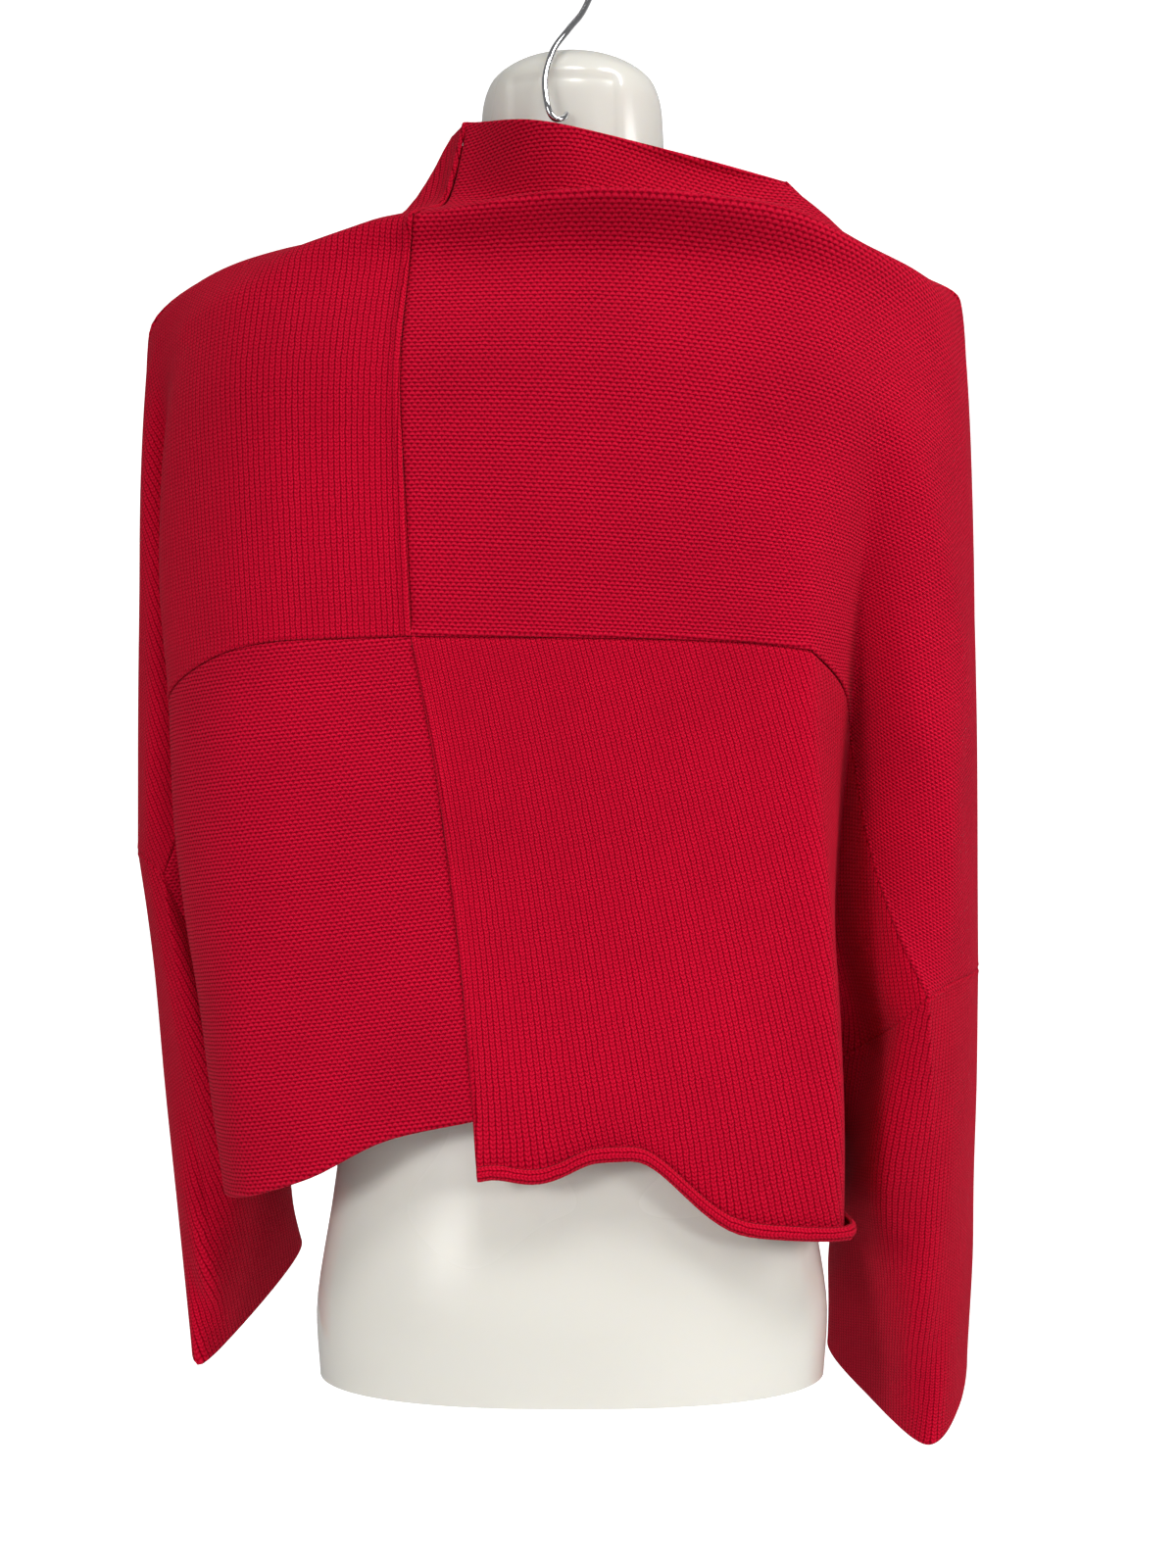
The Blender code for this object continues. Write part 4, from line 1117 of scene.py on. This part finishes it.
# Area lights: name, place, diameter, setting of the power. All aim at one place
AREA_AIM = (0.0, 0.0, -0.5)
AREA_LIGHTS = (
    ("left_light", (-1.6, -2.4, 0.0), 1.2, "left_power"),
    ("right_light", (2.2, -0.6, 0.0), 1.0, "right_power"),
    ("front_light", (0.1, -1.5, 1.5), 0.8, "front_power"),
    ("top_light", (1.1, -0.7, 1.2), 0.6, "top_power"),
)
# Spot lights, which end below the neck: name, place, aim, cone in degrees, share of the power
SPOT_LIGHTS = (
    ("body_light_left", (-1.4, -2.4, 0.0), (-0.05, 0.0, -1.25), 40.5, 1.0),
    ("body_light_right", (1.3, -2.0, -0.05), (0.0, 0.0, -1.25), 45.4, 0.55),
)
SPOT_RADIUS, SPOT_BLEND = 0.25, 0.12


def add_lamp(name, kind, place, aim, power):
    """A light of some power at the place, turned to what it aims at."""
    bpy.ops.object.light_add(type=kind, location=place)
    made = bpy.context.object
    made.name = name
    made.data.energy = power
    made.rotation_euler = (Vector(aim) - Vector(place)).to_track_quat("-Z", "Y").to_euler()
    return made.data


def add_lights(settings):
    """The soft area lights and the spot lights."""
    for name, place, size, key in AREA_LIGHTS:
        lamp = add_lamp(name, "AREA", place, AREA_AIM, getattr(settings, key))
        lamp.shape = "DISK"
        lamp.size = size
    for name, place, aim, cone, share in SPOT_LIGHTS:
        lamp = add_lamp(name, "SPOT", place, aim, share * settings.body_power)
        lamp.shadow_soft_size = SPOT_RADIUS
        lamp.spot_size = math.radians(cone)
        lamp.spot_blend = SPOT_BLEND


def add_floor(settings):
    """The floor, which bends up behind into the backdrop."""
    bpy.ops.object.select_all(action="DESELECT")
    bpy.ops.mesh.primitive_grid_add(x_subdivisions=1, y_subdivisions=FLOOR_STEPS, size=1)
    floor = bpy.context.object
    floor.name = "floor"
    for vertex in floor.data.vertices:
        run = (vertex.co.y + 0.5) * FLOOR_RUN
        turn = min(max((run - FLOOR_FLAT) / BEND_RUN, 0.0), 1.0) * math.pi / 2
        back = min(run, FLOOR_FLAT) + BEND_RADIUS * math.sin(turn)
        rise = max(run - FLOOR_FLAT - BEND_RUN, 0.0) * BACKDROP_STRETCH
        up = FLOOR_HEIGHT + BEND_RADIUS * (1 - math.cos(turn)) + rise
        vertex.co = (vertex.co.x * FLOOR_WIDTH, FLOOR_NEAR + back, up)
    bpy.ops.object.shade_smooth()
    floor.data.materials.append(paper_material(settings))


def add_surround(settings):
    """The even white light from all round."""
    world = bpy.data.worlds.new("surround")
    world.use_nodes = True
    sky = world.node_tree.nodes["Background"]
    sky.inputs["Color"].default_value = (1.0, 1.0, 1.0, 1.0)
    sky.inputs["Strength"].default_value = settings.world_strength
    bpy.context.scene.world = world


def add_camera():
    """The camera, level and at the photograph's place."""
    bpy.ops.object.camera_add(location=CAMERA_PLACE, rotation=(math.pi / 2, 0.0, 0.0))
    camera = bpy.context.object
    camera.name = "camera"
    camera.data.sensor_width = CAMERA_SENSOR
    camera.data.lens = CAMERA_LENS
    bpy.context.scene.camera = camera


# ---- operators ----
class SWEATER_OT_stage(bpy.types.Operator):
    """Adds the floor with its backdrop, the soft lights and the camera at the photograph's angle"""

    bl_idname = "sweater.stage"
    bl_label = "Stage, lights and camera"

    def execute(self, context):
        settings = context.scene.sweater_stage
        add_floor(settings)
        add_lights(settings)
        add_surround(settings)
        context.scene.view_settings.view_transform = "Standard"
        add_camera()
        return {"FINISHED"}


class SWEATER_OT_form(bpy.types.Operator):
    """Moulds the torso form that the sweater hangs on"""

    bl_idname = "sweater.form"
    bl_label = "Torso form"

    def execute(self, context):
        build_form(form_material(context.scene.sweater_form))
        return {"FINISHED"}


class SWEATER_OT_hook(bpy.types.Operator):
    """Bends the chrome wire hook"""

    bl_idname = "sweater.hook"
    bl_label = "Hook"

    def execute(self, context):
        build_hook(chrome_material())
        return {"FINISHED"}


class SWEATER_OT_back(bpy.types.Operator):
    """Knits the four panels of the back"""

    bl_idname = "sweater.back"
    bl_label = "Back panels"

    def execute(self, context):
        for place in QUARTERS:
            build_panel("back_" + place, knits())
        return {"FINISHED"}


class SWEATER_OT_front(bpy.types.Operator):
    """Knits the four panels of the front"""

    bl_idname = "sweater.front"
    bl_label = "Front panels"

    def execute(self, context):
        for place in QUARTERS:
            build_panel("front_" + place, knits())
        return {"FINISHED"}


class SWEATER_OT_sleeves(bpy.types.Operator):
    """Knits the two lower sleeves"""

    bl_idname = "sweater.sleeves"
    bl_label = "Lower sleeves"

    def execute(self, context):
        quarters = ("back_upper_", "back_lower_", "front_upper_", "front_lower_")
        for side, table, sign, column in SLEEVES:
            parts = [quarter + side for quarter in quarters]
            build_sleeve("sleeve_" + side, parts, table, sign, column, knits())
        return {"FINISHED"}


class SWEATER_PT_panel(bpy.types.Panel):
    """Lists the sweater's operators and settings"""

    bl_idname = "SWEATER_PT_panel"
    bl_label = "Cropped sweater"
    bl_space_type = "VIEW_3D"
    bl_region_type = "UI"
    bl_category = "Sweater"

    def draw(self, context):
        for name in SETTINGS:
            settings = getattr(context.scene, name)
            for key in settings.__annotations__:
                self.layout.prop(settings, key)
        for operator in OPERATORS:
            self.layout.operator(operator.bl_idname)


SETTINGS = {
    "sweater_knit": KnitSettings, "sweater_form": FormSettings, "sweater_stage": StageSettings}
OPERATORS = (
    SWEATER_OT_stage, SWEATER_OT_form, SWEATER_OT_hook, SWEATER_OT_back, SWEATER_OT_front,
    SWEATER_OT_sleeves)
CLASSES = (*SETTINGS.values(), *OPERATORS, SWEATER_PT_panel)


def register():
    for made in CLASSES:
        bpy.utils.register_class(made)
    for name, group in SETTINGS.items():
        setattr(bpy.types.Scene, name, bpy.props.PointerProperty(type=group))


def unregister():
    for name in SETTINGS:
        delattr(bpy.types.Scene, name)
    for made in reversed(CLASSES):
        bpy.utils.unregister_class(made)


def main():
    register()
    bpy.ops.sweater.stage()
    bpy.ops.sweater.form()
    bpy.ops.sweater.hook()
    bpy.ops.sweater.back()
    bpy.ops.sweater.front()
    bpy.ops.sweater.sleeves()


if __name__ == "__main__":
    main()
